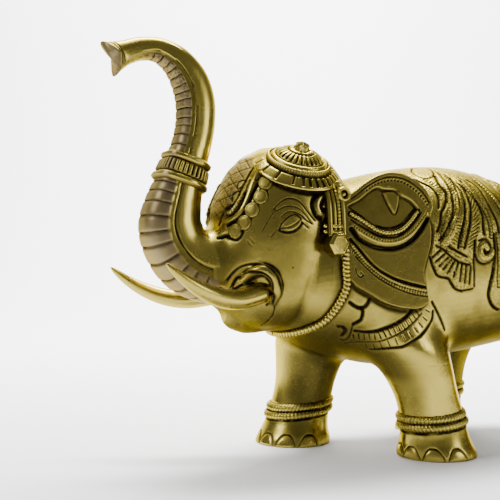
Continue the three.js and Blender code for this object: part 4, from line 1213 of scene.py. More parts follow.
def turned_out(points, faces):
    """The faces, turned round where the closed surface they make has a negative volume."""
    a, b, c, d = (points[faces[:, k]] for k in (0, 1, 2, -1))
    volume = (np.cross(a, b) * c).sum() + (np.cross(a, c) * d).sum()
    return faces if volume > 0 else faces[:, ::-1]


def shift_to_frame():
    """Offset in mm from the working frame to the solid model's frame."""
    low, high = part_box(NODE)
    middle = (low + high) / 2
    return np.array((
        middle.x / MM - WORKING_MIDDLE_X,
        middle.y / MM,
        low.z / MM - WORKING_SOLE_Z,
    ))


def hollows(points, faces, rounds):
    """How far each vertex lies below its neighbours, in mm, averaged over some rounds."""
    count = len(points)
    first = np.concatenate([faces[:, k] for k in range(faces.shape[1])])
    second = np.concatenate([np.roll(faces, -1, axis=1)[:, k] for k in range(faces.shape[1])])
    number = np.maximum(np.bincount(first, minlength=count), 1)

    def mean(values):
        return np.bincount(first, values[second], count) / number

    smoothed = points
    for _ in range(rounds):
        smoothed = np.stack([mean(smoothed[:, k]) for k in range(3)], -1)
    return ((smoothed - points) * corner_normals(points, faces)).sum(-1)


def make_piece(name, points, quads, triangles=None, dark=None, dull=None, grain=None):
    """Makes a mesh object of points in working mm and lets it stand for the solid."""
    old = bpy.data.objects.get(name)
    if old:
        bpy.data.objects.remove(old)
    mesh = bpy.data.meshes.new(name)
    placed = ((points + shift_to_frame()) * MM).astype(np.float32)
    triangles = np.zeros((0, 3), np.int64) if triangles is None else triangles
    corners = np.concatenate([quads.ravel(), triangles.ravel()]).astype(np.int32)
    sizes = np.concatenate([np.full(len(quads), 4), np.full(len(triangles), 3)])
    starts = np.concatenate([[0], np.cumsum(sizes)[:-1]]).astype(np.int32)
    mesh.vertices.add(len(points))
    mesh.vertices.foreach_set("co", placed.ravel())
    mesh.loops.add(len(corners))
    mesh.loops.foreach_set("vertex_index", corners)
    mesh.polygons.add(len(sizes))
    mesh.polygons.foreach_set("loop_start", starts)
    mesh.update(calc_edges=True)
    mesh.polygons.foreach_set("use_smooth", np.ones(len(sizes), bool))
    hollow = hollows(points, quads, HOLLOW_ROUNDS)
    # The dark values hold patina in the carving and also painted shade: on faces turned down, inner
    # sides of the legs, under the domes, between tassel strands and where parts overhang
    shades = {"patina_and_painted_shade": dark, "dull": dull, "grain": grain, "hollow": hollow}
    for kind, values in shades.items():
        shade = mesh.attributes.new(kind, "FLOAT", "POINT")
        values = np.zeros(len(points)) if values is None else values
        shade.data.foreach_set("value", np.asarray(values, np.float32))
    mesh.materials.append(brass_material())
    if mesh.validate():
        raise RuntimeError(f"the mesh of {name} was mended: its faces are not sound")
    piece = bpy.data.objects.new(name, mesh)
    bpy.context.scene.collection.objects.link(piece)
    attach(piece, BODY)
    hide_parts(NODE)
    return piece


def make_shell(name, rings, dark=None, dull=None, grain=None):
    """Makes a closed piece through rings of points, with its faces turned outwards."""
    points, quads, fans = shell(rings)
    if turned_out(points, quads) is not quads:
        quads, fans = quads[:, ::-1], fans[:, ::-1]
    shades = []
    for values in (dark, dull, grain):
        shade = np.zeros(len(points))
        if values is not None:
            values = np.broadcast_to(values, rings.shape[:2])
            shade[: values.size] = values.ravel()
            shade[values.size:] = values[0].mean(), values[-1].mean()
        shades.append(shade)
    return make_piece(name, points, quads, fans, *shades)


def add_node(tree, kind, place, **settings):
    """Adds a node of a kind at a place and sets its plain properties."""
    node = tree.nodes.new(kind)
    node.location = place
    for key, value in settings.items():
        setattr(node, key, value)
    return node


def new_group(name, inputs, outputs):
    """Starts a node group with float or colour sockets; gives its tree, input and output."""
    tree = bpy.data.node_groups.new(name, "ShaderNodeTree")
    for names, way in ((inputs, "INPUT"), (outputs, "OUTPUT")):
        for label, kind in names:
            tree.interface.new_socket(label, in_out=way, socket_type=f"NodeSocket{kind}")
    start = add_node(tree, "NodeGroupInput", (-900, 0))
    end = add_node(tree, "NodeGroupOutput", (700, 0))
    return tree, start.outputs, end.inputs


def noise(tree, vector, place, scale, detail=4.0, rough=0.6):
    """Adds a noise texture; scale counts features in a metre."""
    node = add_node(tree, "ShaderNodeTexNoise", place)
    node.inputs["Scale"].default_value = scale
    node.inputs["Detail"].default_value = detail
    node.inputs["Roughness"].default_value = rough
    tree.links.new(vector, node.inputs["Vector"])
    return node.outputs["Fac"]


def ranged(tree, value, place, low, high, bottom=0.0, top=1.0):
    """Maps a value from low to high onto bottom to top, clamped."""
    node = add_node(tree, "ShaderNodeMapRange", place, interpolation_type="SMOOTHSTEP")
    for label, number in (("From Min", low), ("From Max", high), ("To Min", bottom),
                          ("To Max", top)):
        node.inputs[label].default_value = number
    tree.links.new(value, node.inputs["Value"])
    return node.outputs["Result"]


def math_node(tree, kind, first, second, place, clamp=False):
    """Adds a math node between two sockets or plain numbers."""
    node = add_node(tree, "ShaderNodeMath", place, operation=kind, use_clamp=clamp)
    for socket, value in zip(node.inputs, (first, second)):
        if isinstance(value, (int, float)):
            socket.default_value = value
        else:
            tree.links.new(value, socket)
    return node.outputs["Value"]


def deposit_group():
    """How much dark patina lies at a place: in cuts, hollows and grainy places, in patches. The
    input for the cuts also carries painted shade.
    """
    tree, given, result = new_group(
        "patina deposit",
        (("Vector", "Vector"), ("Carving and painted shade", "Float"), ("Hollow", "Float"), ("Grain", "Float")),
        (("Deposit", "Float"),),
    )
    patches = noise(tree, given["Vector"], (-700, 300), 130)
    specks = noise(tree, given["Vector"], (-700, 0), 900, detail=3)
    deep = ranged(tree, given["Hollow"], (-500, -200), 0.03, 0.2)
    rubbed = math_node(tree, "MULTIPLY", deep, ranged(tree, patches, (-500, 300), 0.3, 0.55, 0.5),
                       (-300, 200))
    cut = math_node(tree, "MULTIPLY", given["Carving and painted shade"], ranged(tree, specks, (-500, 0), 0.2, 0.5, 0.7),
                    (-300, 0))
    grainy = math_node(tree, "MULTIPLY", given["Grain"],
                       ranged(tree, specks, (-500, -400), 0.46, 0.62), (-300, -300))
    either = math_node(tree, "MAXIMUM", rubbed, cut, (-100, 100))
    grainy = math_node(tree, "MULTIPLY", grainy, 0.85, (-200, -400))
    either = math_node(tree, "MAXIMUM", either, grainy, (100, 0))
    tree.links.new(either, result["Deposit"])
    return tree


def surface_group():
    """Height of the metal's finest marks in mm: brushing, casting grain and scattered pits."""
    tree, given, result = new_group(
        "surface marks",
        (("Vector", "Vector"), ("Grain", "Float")),
        (("Height", "Float"), ("Pit", "Float")),
    )
    stretched = add_node(tree, "ShaderNodeVectorMath", (-700, 300), operation="MULTIPLY")
    stretched.inputs[1].default_value = (1.0, 1.0, 0.06)
    tree.links.new(given["Vector"], stretched.inputs[0])
    brushing = noise(tree, stretched.outputs["Vector"], (-500, 300), 900, detail=2)
    ripples = noise(tree, given["Vector"], (-500, 100), 90, detail=2)
    grain = noise(tree, given["Vector"], (-500, -100), 1100, detail=2)
    spots = add_node(tree, "ShaderNodeTexVoronoi", (-500, -300), feature="F1")
    spots.inputs["Scale"].default_value = 150
    tree.links.new(given["Vector"], spots.inputs["Vector"])
    rare = noise(tree, given["Vector"], (-500, -500), 60, detail=1)
    near_spot = ranged(tree, spots.outputs["Distance"], (-300, -300), 0.1, 0.05)
    pit = math_node(tree, "MULTIPLY", near_spot, ranged(tree, rare, (-300, -500), 0.58, 0.62),
                    (-100, -300))
    rough = math_node(tree, "MULTIPLY", grain, given["Grain"], (-300, -100))
    rough = math_node(tree, "MULTIPLY", rough, 0.5, (-100, -100))
    fine = math_node(tree, "ADD", math_node(tree, "MULTIPLY", brushing, 0.05, (-300, 300)),
                     math_node(tree, "MULTIPLY", ripples, 0.25, (-300, 100)), (-100, 200))
    total = math_node(tree, "ADD", fine, rough, (100, 100))
    total = math_node(tree, "SUBTRACT", total, math_node(tree, "MULTIPLY", pit, 0.3, (100, -300)),
                      (300, 0))
    tree.links.new(total, result["Height"])
    tree.links.new(pit, result["Pit"])
    return tree


def colour_group():
    """Colour and roughness: bright on rubbed places, duller between, dark in the patina and in the
    painted shade.
    """
    tree, given, result = new_group(
        "metal colour",
        (("Vector", "Vector"), ("Brass", "Color"), ("Tarnish", "Color"), ("Dull metal", "Color"),
         ("Patina and painted shade", "Color"), ("Deposit", "Float"), ("Dull", "Float"), ("Hollow", "Float")),
        (("Color", "Color"), ("Roughness", "Float")),
    )
    cloud = noise(tree, given["Vector"], (-700, 300), 38, detail=5)
    worn = ranged(tree, given["Hollow"], (-700, 0), 0.0, -0.12)
    aged = ranged(tree, cloud, (-500, 300), 0.38, 0.66)
    aged = math_node(tree, "SUBTRACT", aged, worn, (-300, 300), clamp=True)

    def blend(first, second, share, place):
        node = add_node(tree, "ShaderNodeMix", place, data_type="RGBA")
        tree.links.new(share, node.inputs["Factor"])
        tree.links.new(first, node.inputs["A"])
        tree.links.new(second, node.inputs["B"])
        return node.outputs["Result"]

    metal = blend(given["Brass"], given["Tarnish"], aged, (-100, 300))
    metal = blend(metal, given["Dull metal"], given["Dull"], (100, 300))
    metal = blend(metal, given["Patina and painted shade"], given["Deposit"], (300, 300))
    tree.links.new(metal, result["Color"])
    base = ranged(tree, cloud, (-300, -100), 0.3, 0.7, 0.2, 0.32)
    rougher = math_node(tree, "MULTIPLY", given["Dull"], 0.22, (-300, -300))
    darker = math_node(tree, "MULTIPLY", given["Deposit"], 0.3, (-300, -500))
    total = math_node(tree, "ADD", math_node(tree, "ADD", base, rougher, (-100, -200)), darker,
                      (100, -200), clamp=True)
    tree.links.new(total, result["Roughness"])
    return tree


def brass_material():
    """Chased brass, from the attributes that the chasing leaves on each vertex; the darkness among
    them also holds painted shade.
    """
    found = bpy.data.materials.get("chased brass")
    if found:
        return found
    look = bpy.context.scene.elephant_brass
    material = bpy.data.materials.new("chased brass")
    material.use_nodes = True
    tree = material.node_tree
    links = tree.links
    shader = tree.nodes["Principled BSDF"]
    shader.inputs["Metallic"].default_value = 1.0
    shader.inputs["Specular Tint"].default_value = (*look.edge, 1)
    place = add_node(tree, "ShaderNodeTexCoord", (-1200, 0)).outputs["Object"]
    shades = {}
    for number, kind in enumerate(("patina_and_painted_shade", "dull", "grain", "hollow")):
        node = add_node(tree, "ShaderNodeAttribute", (-1200, -200 * number - 200))
        node.attribute_name = kind
        shades[kind] = node.outputs["Fac"]
    deposit = add_node(tree, "ShaderNodeGroup", (-900, 200), node_tree=deposit_group())
    marks = add_node(tree, "ShaderNodeGroup", (-900, -200), node_tree=surface_group())
    colour = add_node(tree, "ShaderNodeGroup", (-500, 200), node_tree=colour_group())
    for node in (deposit, marks, colour):
        links.new(place, node.inputs["Vector"])
    # This carries the patina of the carving together with the painted shade into the deposit
    links.new(shades["patina_and_painted_shade"], deposit.inputs["Carving and painted shade"])
    links.new(shades["hollow"], deposit.inputs["Hollow"])
    links.new(shades["grain"], deposit.inputs["Grain"])
    links.new(shades["grain"], marks.inputs["Grain"])
    links.new(shades["dull"], colour.inputs["Dull"])
    links.new(shades["hollow"], colour.inputs["Hollow"])
    for label, value in (("Brass", look.brass), ("Tarnish", look.tarnish),
                         ("Dull metal", look.dull), ("Patina and painted shade", look.patina_and_painted_shade)):
        colour.inputs[label].default_value = (*value, 1)
    total = math_node(tree, "MAXIMUM", deposit.outputs["Deposit"], marks.outputs["Pit"], (-700, 0))
    links.new(total, colour.inputs["Deposit"])
    links.new(colour.outputs["Color"], shader.inputs["Base Color"])
    links.new(colour.outputs["Roughness"], shader.inputs["Roughness"])
    bump = add_node(tree, "ShaderNodeBump", (-500, -200))
    bump.inputs["Distance"].default_value = MM
    bump.inputs["Strength"].default_value = 0.6
    links.new(marks.outputs["Height"], bump.inputs["Height"])
    links.new(bump.outputs["Normal"], shader.inputs["Normal"])
    return material


def size(name):
    """One of the user's sizes, in mm."""
    return getattr(bpy.context.scene.elephant_sizes, name) / MM


# Pieces
def carve_head(relief):
    """Net cap with its border and discs, brow, eye, folds and scroll, with painted shade under the
    crown, below the ear and beside the rope collar.
    """
    cap = relief.points
    on_net = ease(*NET_SIDE, cap[:, 1]) * ease(*NET_FOOT, cap[:, 2]) * ease(*NET_REAR, cap[:, 0])
    for across, middle, pitch in NET_LINES:
        place = (cap @ unit(np.array(across)) - middle) / pitch
        off = np.abs(place - np.round(place)) * pitch
        line = np.clip(1 - (off / NET_LINE_HALF) ** 2, 0, 1) * on_net
        relief.height -= size("net_depth") * line
        relief.dark = np.maximum(relief.dark, NET_LINE_DARK * line)
    relief.grain += NET_GRAIN * on_net
    relief.dull += NET_DULL * on_net
    shade = NET_DARK * on_net * ease(*NET_DARK_HEIGHTS, cap[:, 2])
    relief.dark = np.maximum(relief.dark, shade)
    relief.panel(EYE_OUTLINE, EYE_RISE, soft=3.0, edge=0.0)
    relief.lay(HEAD_CHASING)
    for middle in CAP_DISCS:
        relief.disc(np.array(middle), CAP_DISC_RADIUS)


def rear_plumes():
    """Routes of the plumes on the rear of the cloth: each runs down and back from the spine."""
    t = np.linspace(0, 1, 9)
    for k in range(REAR_PLUMES):
        for offset, kind, sizes in PLUME_STROKES:
            start = PLUME_START + k * PLUME_PITCH + offset
            sweep = start + PLUME_SWEEP[0] * t + PLUME_SWEEP[1] * t * t
            x = np.minimum(sweep, PLUME_STOP)
            turn = PLUME_TURN[0] + (PLUME_TURN[1] + PLUME_TURN[2] * k) * t
            yield kind, sizes, mirrored(torso_points(x, turn))


def carve_body(relief):
    """Saddle cloth with plumes, fan hem, scroll and hanging border, and the chest bands, with
    painted shade below the ear and beside the rope collar.
    """
    before = relief.height.copy()
    relief.panel(CLOTH_OUTLINE, size("cloth_rise"), soft=1.2, edge=0.5)
    relief.grain += relief.height - before
    relief.lay(CLOTH_CHASING)
    relief.lay(rear_plumes())
    share = np.linspace(0, 1, FAN_CUTS)
    for top, end in zip(smooth(FAN_TOPS, share), smooth(FAN_ENDS, share)):
        relief.groove((top, (top + end) / 2, end), *FAN_CUT)
    relief.lay(HEAD_CHASING)


def skin_pieces(regions, carve):
    """Makes regions of the casting, each with its chasing."""
    for name, low, high, step in regions:
        points, quads, triangles = skin(casting(), low, high, step)
        if turned_out(points, quads) is not quads:
            quads, triangles = quads[:, ::-1], triangles[:, ::-1]
        normals = corner_normals(points, quads)
        relief = Relief(points, normals)
        carve(relief)
        points = points + normals * relief.height[:, None]
        make_piece(name, points, quads, triangles, relief.dark, relief.dull, relief.grain)


class ELEPHANT_OT_body(bpy.types.Operator):
    """Torso and upper legs with the saddle cloth."""

    bl_idname = "elephant.body"
    bl_label = "Body"

    def execute(self, context):
        skin_pieces(BODY_SKINS, carve_body)
        return {"FINISHED"}


class ELEPHANT_OT_head(bpy.types.Operator):
    """Head with brow, cap and chest."""

    bl_idname = "elephant.head"
    bl_label = "Head"

    def execute(self, context):
        skin_pieces(HEAD_SKINS, carve_head)
        return {"FINISHED"}


def carve_foot(turn, z, anklet):
    """Height and darkness on a foot: two twisted anklets and arched nails round the front."""
    height = np.zeros_like(z)
    dark = np.zeros_like(z)
    level = z - anklet - ANKLET_TILT * SOLE_RADIUS * np.cos(turn)
    for place, lay in ANKLET_LAYS:
        off = (level - place * ANKLET_CORD) / (0.5 * ANKLET_CORD)
        body = np.sqrt(np.clip(1 - off * off, 0, 1))
        strand = np.abs(np.sin(0.5 * ANKLET_STRANDS * turn + lay * 0.9 * off)) ** 0.5
        height += size("anklet_rise") * body * (0.6 + 0.4 * strand)
        cut = 1.3 * (1 - strand) * (np.abs(off) < 1) * (0.6 + 0.4 * np.abs(off))
        dark = np.maximum(dark, np.maximum(cut, np.exp(-((np.abs(off) - 1.08) / 0.16) ** 2)))
    tall = size("nail_height")
    for degrees in NAIL_PLACES:
        away = (turn - math.radians(180 + degrees) + np.pi) % (2 * np.pi) - np.pi
        along = np.abs(away) * SOLE_RADIUS / (0.5 * NAIL_WIDTH)
        arch = tall * (1 - np.clip(along, 0, 1.3) ** NAIL_ROUND)
        steep = NAIL_ROUND * np.clip(along, 0, 1.3) ** (NAIL_ROUND - 1)
        slope = 1 + (2 * tall / NAIL_WIDTH * steep) ** 2
        off = (z - WORKING_SOLE_Z - arch) / np.sqrt(slope)
        inside = (along < 1.02) & (z - WORKING_SOLE_Z > 0.8)
        line = np.clip(1 - (off / NAIL_LINE_HALF) ** 2, 0, 1) * inside
        nail = ease(0.3, -1.6, off) * (along < 1) * ease(-1, 1, off + 8)
        height += NAIL_RISE * nail - NAIL_LINE_DEPTH * line
        dark = np.maximum(dark, 0.9 * line)
    return height, dark


class ELEPHANT_OT_feet(bpy.types.Operator):
    """Feet with anklets and nails."""

    bl_idname = "elephant.feet"
    bl_label = "Feet"

    def execute(self, context):
        for name, leg, x, y, slant, anklet in FEET:
            rows, columns = FOOT_MESH[name.split("_")[1]]
            z = np.concatenate([SOLE_RINGS[:, 0], np.linspace(*FOOT_HEIGHTS, rows)])
            inset = np.concatenate([SOLE_RINGS[:, 1], np.zeros(rows)])
            for depth, low, high in FOOT_DIPS:
                inset -= depth * ease(low, high, z)
            turn = np.linspace(0, 2 * np.pi, columns, endpoint=False)[None, :]
            zz, turn = np.broadcast_arrays(z[:, None], turn)
            height, dark = carve_foot(turn, zz, anklet)
            height *= ease(*SOLE_FADE, zz)
            rings = leg_point(leg, x, y, slant, zz, turn, inset[:, None] + height)
            make_shell(f"{name}_foot", rings, dark)
        return {"FINISHED"}


def carve_trunk(share, forward, length):
    """Height, darkness and dullness on the trunk: rungs on its flat, a line down each side."""
    along = share * length
    pitch = size("rung_pitch")
    rung = along / pitch + 0.1 * np.sin(0.31 * along)
    off = np.abs(rung - np.round(rung)) * pitch
    corner, line_at = (np.interp(share, TRUNK_EDGES[:, 0], TRUNK_EDGES[:, k]) for k in (1, 2))
    flat = ease(-0.02, 0.03, forward - corner)
    runs = ease(0.08, 0.12, share) * ease(0.93, 0.86, share)
    cut = np.clip(1 - (off / RUNG_HALF_WIDTH) ** 2, 0, 1) * flat * runs
    side = np.clip(1 - ((forward - line_at) / SIDE_LINE_HALF) ** 2, 0, 1)
    broken = np.where(share > 0.53, ease(0.1, 0.5, np.sin(0.21 * along + 0.8) + 0.75), 1)
    line = side * ease(0.1, 0.16, share) * ease(0.9, 0.84, share) * broken
    bevel = ease(line_at, line_at + 0.05, forward) * (1 - flat) * runs
    lip = np.zeros_like(along + forward)
    for back in TIP_LINES:
        off = (along - length + back) / TIP_LINE_HALF
        lip = np.maximum(lip, np.clip(1 - off * off, 0, 1))
    lip = lip * ease(0.9, 0.6, forward)
    height = -RUNG_DEPTH * cut - SIDE_LINE_DEPTH * line - TIP_LINE_DEPTH * lip
    height -= BEVEL_DEPTH * bevel
    dark = np.maximum(np.maximum(0.85 * cut, line), 0.85 * lip)
    rough = 0.35 * flat * ease(0.62, 0.9, share)
    dull = np.maximum(flat * runs, ease(0.985, 0.998, share))
    return height, np.maximum(dark, rough), np.clip(dull, 0, 1), flat * ease(0.5, 0.9, share)


def trunk_collar(length):
    """Collar: a plain ring, a band of flutes and a plain ring around the trunk."""
    rows, columns = COLLAR_MESH
    at = np.linspace(COLLAR_PROFILE[0, 0], COLLAR_PROFILE[-1, 0], rows)
    proud, dark = (np.interp(at, COLLAR_PROFILE[:, 0], COLLAR_PROFILE[:, k]) for k in (1, 2))
    place = np.arange(columns)[None, :] / columns
    flute = np.abs(np.sin(np.pi * COLLAR_FLUTES * place)) ** 0.5
    band = ease(0.2, 0.16, np.abs(at))[:, None]
    cut = (1 - flute) * band
    share = COLLAR_AT + at * COLLAR_HEIGHT / length
    height = proud[:, None] * size("collar_rise") - COLLAR_CUT * cut
    rings, forward, _ = trunk_rings(share, columns, height)
    dull = 0.7 * ease(0.6, 0.8, forward)
    return rings, np.maximum(dark[:, None], 1.6 * cut * (flute < 0.8)), dull


class ELEPHANT_OT_trunk(bpy.types.Operator):
    """Raised trunk, its collar and the tusks."""

    bl_idname = "elephant.trunk"
    bl_label = "Trunk"

    def execute(self, context):
        rows, columns = TRUNK_MESH
        share = np.linspace(*TRUNK_SPAN, rows)
        _, forward, length = trunk_rings(share, columns)
        height, dark, dull, grain = carve_trunk(share[:, None], forward, length)
        rings = trunk_rings(share, columns, height - TRUNK_SLACK)[0]
        make_shell("trunk", rings, dark, dull, grain)
        rings, dark, dull = trunk_collar(length)
        make_shell("trunk_collar", rings, dark, dull)
        tusk = bar(TUSK, *TUSK_MESH)
        make_shell("tusk_left", tusk)
        make_shell("tusk_right", mirrored(tusk) - np.array((0, 0, RIGHT_TUSK_DROP)))
        return {"FINISHED"}


def carve_dome(share, turn):
    """Height and darkness on a dome: slots, grooves, a bead ring, flutes and a cut knob."""
    height = np.zeros_like(share + turn)
    dark = np.zeros_like(height)
    slotted = ease(-0.2, 0.15, -np.cos(turn - DOME_PLAIN_SIDE))
    for (inner, outer, count, half), strength in zip(DOME_CUTS, (slotted, 1 - slotted, 1.0)):
        band = ease(inner - 0.008, inner + 0.012, share) * ease(outer + 0.012, outer - 0.008, share)
        place = turn * count / (2 * np.pi)
        off = np.abs(place - np.round(place))
        slot = ease(half + 0.06, half - 0.02, off) * band * strength
        height -= DOME_CUT_DEPTH * slot
        dark = np.maximum(dark, slot)
    for middle, half, depth in DOME_GROOVES:
        cut = np.clip(1 - ((share - middle) / half) ** 2, 0, 1) + 0 * turn
        height -= depth * cut
        dark = np.maximum(dark, np.clip(1.4 * cut, 0, 1))
    off = (share - DOME_BEADS_AT[0]) / DOME_BEADS_AT[1]
    bead = np.sqrt(np.clip(1 - off**2 - 0.8 * np.sin(0.5 * DOME_BEADS * turn) ** 2, 0, 1))
    height += DOME_BEAD_RISE * bead
    dark = np.maximum(dark, np.clip(0.9 - 2 * bead, 0, 1) * (np.abs(off) < 1))
    ring = np.clip(1 - ((share - DOME_RING_AT[0]) / DOME_RING_AT[1]) ** 2, 0, 1)
    height += DOME_RING_RISE * np.sqrt(ring)
    facet = np.abs(np.sin(3.5 * turn + 6 * share)) * ease(0.24, 0.18, share)
    height -= 0.9 * facet * (1 - ease(0.1, 0, share))
    return height, np.maximum(dark, 0.55 * facet**3)


class ELEPHANT_OT_crown(bpy.types.Operator):
    """Crown domes over each half of the head."""

    bl_idname = "elephant.crown"
    bl_label = "Crown"

    def execute(self, context):
        axis = np.array((0, -math.sin(DOME_LEAN), math.cos(DOME_LEAN)))
        for side, (rows, columns) in DOME_MESHES.items():
            profile = smooth(DOME_PROFILE, np.linspace(0, 1, rows))
            turn = np.linspace(0, 2 * np.pi, columns, endpoint=False)[None, :]
            height, dark = carve_dome(profile[:, :1], turn)
            # Rows under the brim take no relief and are painted fully dark: painted shade beneath
            # each dome
            above = (np.arange(rows) > DOME_UNDERSIDE * rows)[:, None]
            profile = profile * (DOME_RADIUS, DOME_HEIGHT)
            rings = lathe(DOME_MIDDLE, axis, profile, columns, height * above)
            make_shell(f"dome_{side}", on_side(side, rings), np.where(above, dark, 1.0))
        return {"FINISHED"}


def even_profile(table, rows, radius, height):
    """Profile of a turned piece at even shares of a table, which is drawn for a unit size."""
    return smooth(table, np.linspace(0, 1, rows)) * (radius, height)


def make_tassel(side):
    """Strands of a tassel with the ties around them."""
    steps, sides = STRAND_MESH
    around_it = np.linspace(0, 2 * np.pi, sides, endpoint=False)
    # Painted shade between the strands: each strand is darker on the sides that face its neighbours
    gap_painted_shade = ease(0.35, 0.95, np.abs(np.cos(around_it)))[None, :]
    for number, (x, radius) in enumerate(STRANDS):
        table = [(TASSEL_X + x + off, y, z, radius) for off, y, z in STRAND_ROUTE]
        twisted = number == TWISTED_STRAND
        depth = 0.5 if twisted else 0.0
        rings, dark = cord(np.array(table), steps, sides, 1.9, depth, lay=0.0)
        dark = np.maximum(dark if twisted else 0, gap_painted_shade)
        make_shell(f"tassel_{side}_{number + 1}", on_side(side, rings), dark)
    for number, height in enumerate(TASSEL_TIES):
        table = [(TASSEL_X + x, y, height + rise, TIE_RADIUS) for x, y, rise in TIE_ROUTE]
        rings, dark = cord(np.array(table), *TIE_MESH, 2.6, 0.3, lay=0.0)
        make_shell(f"tie_{side}_{number + 1}", on_side(side, rings), dark)


def make_drop(side):
    """The six-sided drop below the rosette: a turned piece drawn out to its corners."""
    rows, columns = DROP_MESH
    profile = even_profile(DROP_PROFILE, rows, DROP_RADIUS, DROP_DEPTH)
    rings = lathe(DROP_MIDDLE, OUT_OF_LEFT_SIDE, profile, columns)
    turn = np.linspace(0, 2 * np.pi, columns, endpoint=False)
    corner = (turn + np.pi / 6) % (np.pi / 3) - np.pi / 6
    shrink = (np.cos(np.pi / 6) / np.cos(np.pi / 6 - np.abs(corner)))[None, :, None]
    rings = DROP_MIDDLE + (rings - DROP_MIDDLE) * np.where([True, False, True], shrink, 1.0)
    make_shell(f"drop_{side}", on_side(side, rings), 0.9 * (profile[:, :1] > 0.94 * DROP_RADIUS))


def make_rosette(side):
    """The round rosette above the drop."""
    rows, columns = ROSETTE_MESH
    profile = even_profile(ROSETTE_PROFILE, rows, ROSETTE_RADIUS, ROSETTE_DEPTH)
    rings = lathe(ROSETTE_MIDDLE, OUT_OF_LEFT_SIDE, profile, columns)
    cut = np.exp(-((profile[:, :1] / ROSETTE_RADIUS - 0.43) / 0.09) ** 2)
    make_shell(f"rosette_{side}", on_side(side, rings), cut + (profile[:, 1:] < 2.2))


class ELEPHANT_OT_cords(bpy.types.Operator):
    """Rope collar at the throat, tassels with their drops, and rosettes."""

    bl_idname = "elephant.cords"
    bl_label = "Cords and tassels"

    def execute(self, context):
        rope = np.vstack([THROAT_ROPE, (THROAT_ROPE * (1, -1, 1, 1))[-2::-1]])
        rings, dark = cord(rope, *ROPE_MESH, size("rope_pitch"), ROPE_GROOVE)
        make_shell("throat_rope", rings, dark)
        for side in ("left", "right"):
            make_tassel(side)
            make_drop(side)
            make_rosette(side)
        return {"FINISHED"}


class ELEPHANT_OT_tail(bpy.types.Operator):
    """Tail with its tuft."""

    bl_idname = "elephant.tail"
    bl_label = "Tail"

    def execute(self, context):
        rows, columns = TAIL_MESH
        share = np.linspace(0, 1, rows)[:, None]
        turn = np.linspace(0, 2 * np.pi, columns, endpoint=False)[None, :]
        tuft = ease(TUFT_AT, TUFT_AT + 0.06, share)
        hair = np.abs(np.sin(7 * turn + 4 * share)) ** 0.7
        ring = np.clip(1 - ((share - TUFT_AT) / 0.018) ** 2, 0, 1)
        grow = -TAIL_SLACK - 0.6 * (1 - hair) * tuft + 0.9 * np.sqrt(ring)
        dark = np.clip(1.1 - 2 * hair, 0, 1) * tuft + ring * (np.abs(share - TUFT_AT) > 0.014)
        make_shell("tail", bar(TAIL, rows, columns, grow), dark)
        return {"FINISHED"}


def ear_face(x, z):
    """Side of the left ear's face: it spreads out to the rear and leans in towards its top."""
    back = np.clip((x - EAR_START) / EAR_LENGTH, 0, None)
    lean = np.where(z > EAR_LEAN_HEIGHT, EAR_LEANS[1], EAR_LEANS[0]) * (z - EAR_LEAN_HEIGHT)
    return -(EAR_SIDE + EAR_SPREAD * back**0.8) + lean


def on_ear(points):
    """Points given as x and z, laid on the face of the left ear."""
    x, z = np.asarray(points, float).T
    return np.stack([x, ear_face(x, z), z], -1)


def patch(low, high, start, end, columns, rows):
    """A sheet between four edges: blends opposite edges and takes out what is counted twice."""
    u, v = np.linspace(0, 1, columns), np.linspace(0, 1, rows)
    low, high, start, end = smooth(low, u), smooth(high, u), smooth(start, v), smooth(end, v)
    u, v = u[None, :, None], v[:, None, None]
    across = (1 - v) * low + v * high
    along = (1 - u) * start[:, None] + u * end[:, None]
    corner = ((1 - u) * (1 - v) * low[0] + u * (1 - v) * low[-1]
              + (1 - u) * v * high[0] + u * v * high[-1])
    return across + along - corner


def carve_ear(relief):
    """Rim with a row of pricks, sunk field with a fold, bead rows, smooth panel and hem."""
    relief.panel(EAR_RECESS, -2.0, soft=1.4, dark=0.3, edge=1.0)
    relief.panel(EAR_FOLD, 1.5, soft=1.0, dark=0.1, edge=0.8)
    relief.groove(on_ear(EAR_RIM_GROOVE), width=1.2, depth=0.5)
    relief.pricks(on_ear(EAR_TICKS), width=1.7, depth=0.6, pitch=2.0)
    relief.ridge(on_ear(EAR_BEADS_UPPER), width=3.0, height=0.7, edge=1.0)
    relief.beads(on_ear(EAR_BEADS_UPPER), width=2.2, height=0.8, pitch=1.8)
    relief.groove(on_ear(EAR_BETWEEN_BEADS), width=1.3, depth=0.6)
    relief.ridge(on_ear(EAR_BEADS_LOWER), width=3.6, height=0.7, edge=0.6)
    relief.pricks(on_ear(EAR_BEADS_LOWER), width=1.3, depth=0.5, pitch=1.6)
    relief.groove(on_ear(EAR_CRESCENT), width=3.6, depth=1.8)
    relief.groove(on_ear(EAR_PANEL_LINE), width=2.2, depth=1.2)
    relief.ridge(on_ear(EAR_HEM_BEADS), width=2.6, height=0.6, edge=0.5)
    relief.beads(on_ear(EAR_HEM_BEADS), width=2.0, height=0.7, pitch=1.6)
    relief.ticks(on_ear(EAR_HEM_TICKS), width=3.0, depth=0.5, pitch=1.6, cut=0.7)
    relief.groove(on_ear(EAR_HEM_GROOVE), width=1.1, depth=0.5)
    relief.groove(on_ear(EAR_SWIRL), width=1.0, depth=0.4)


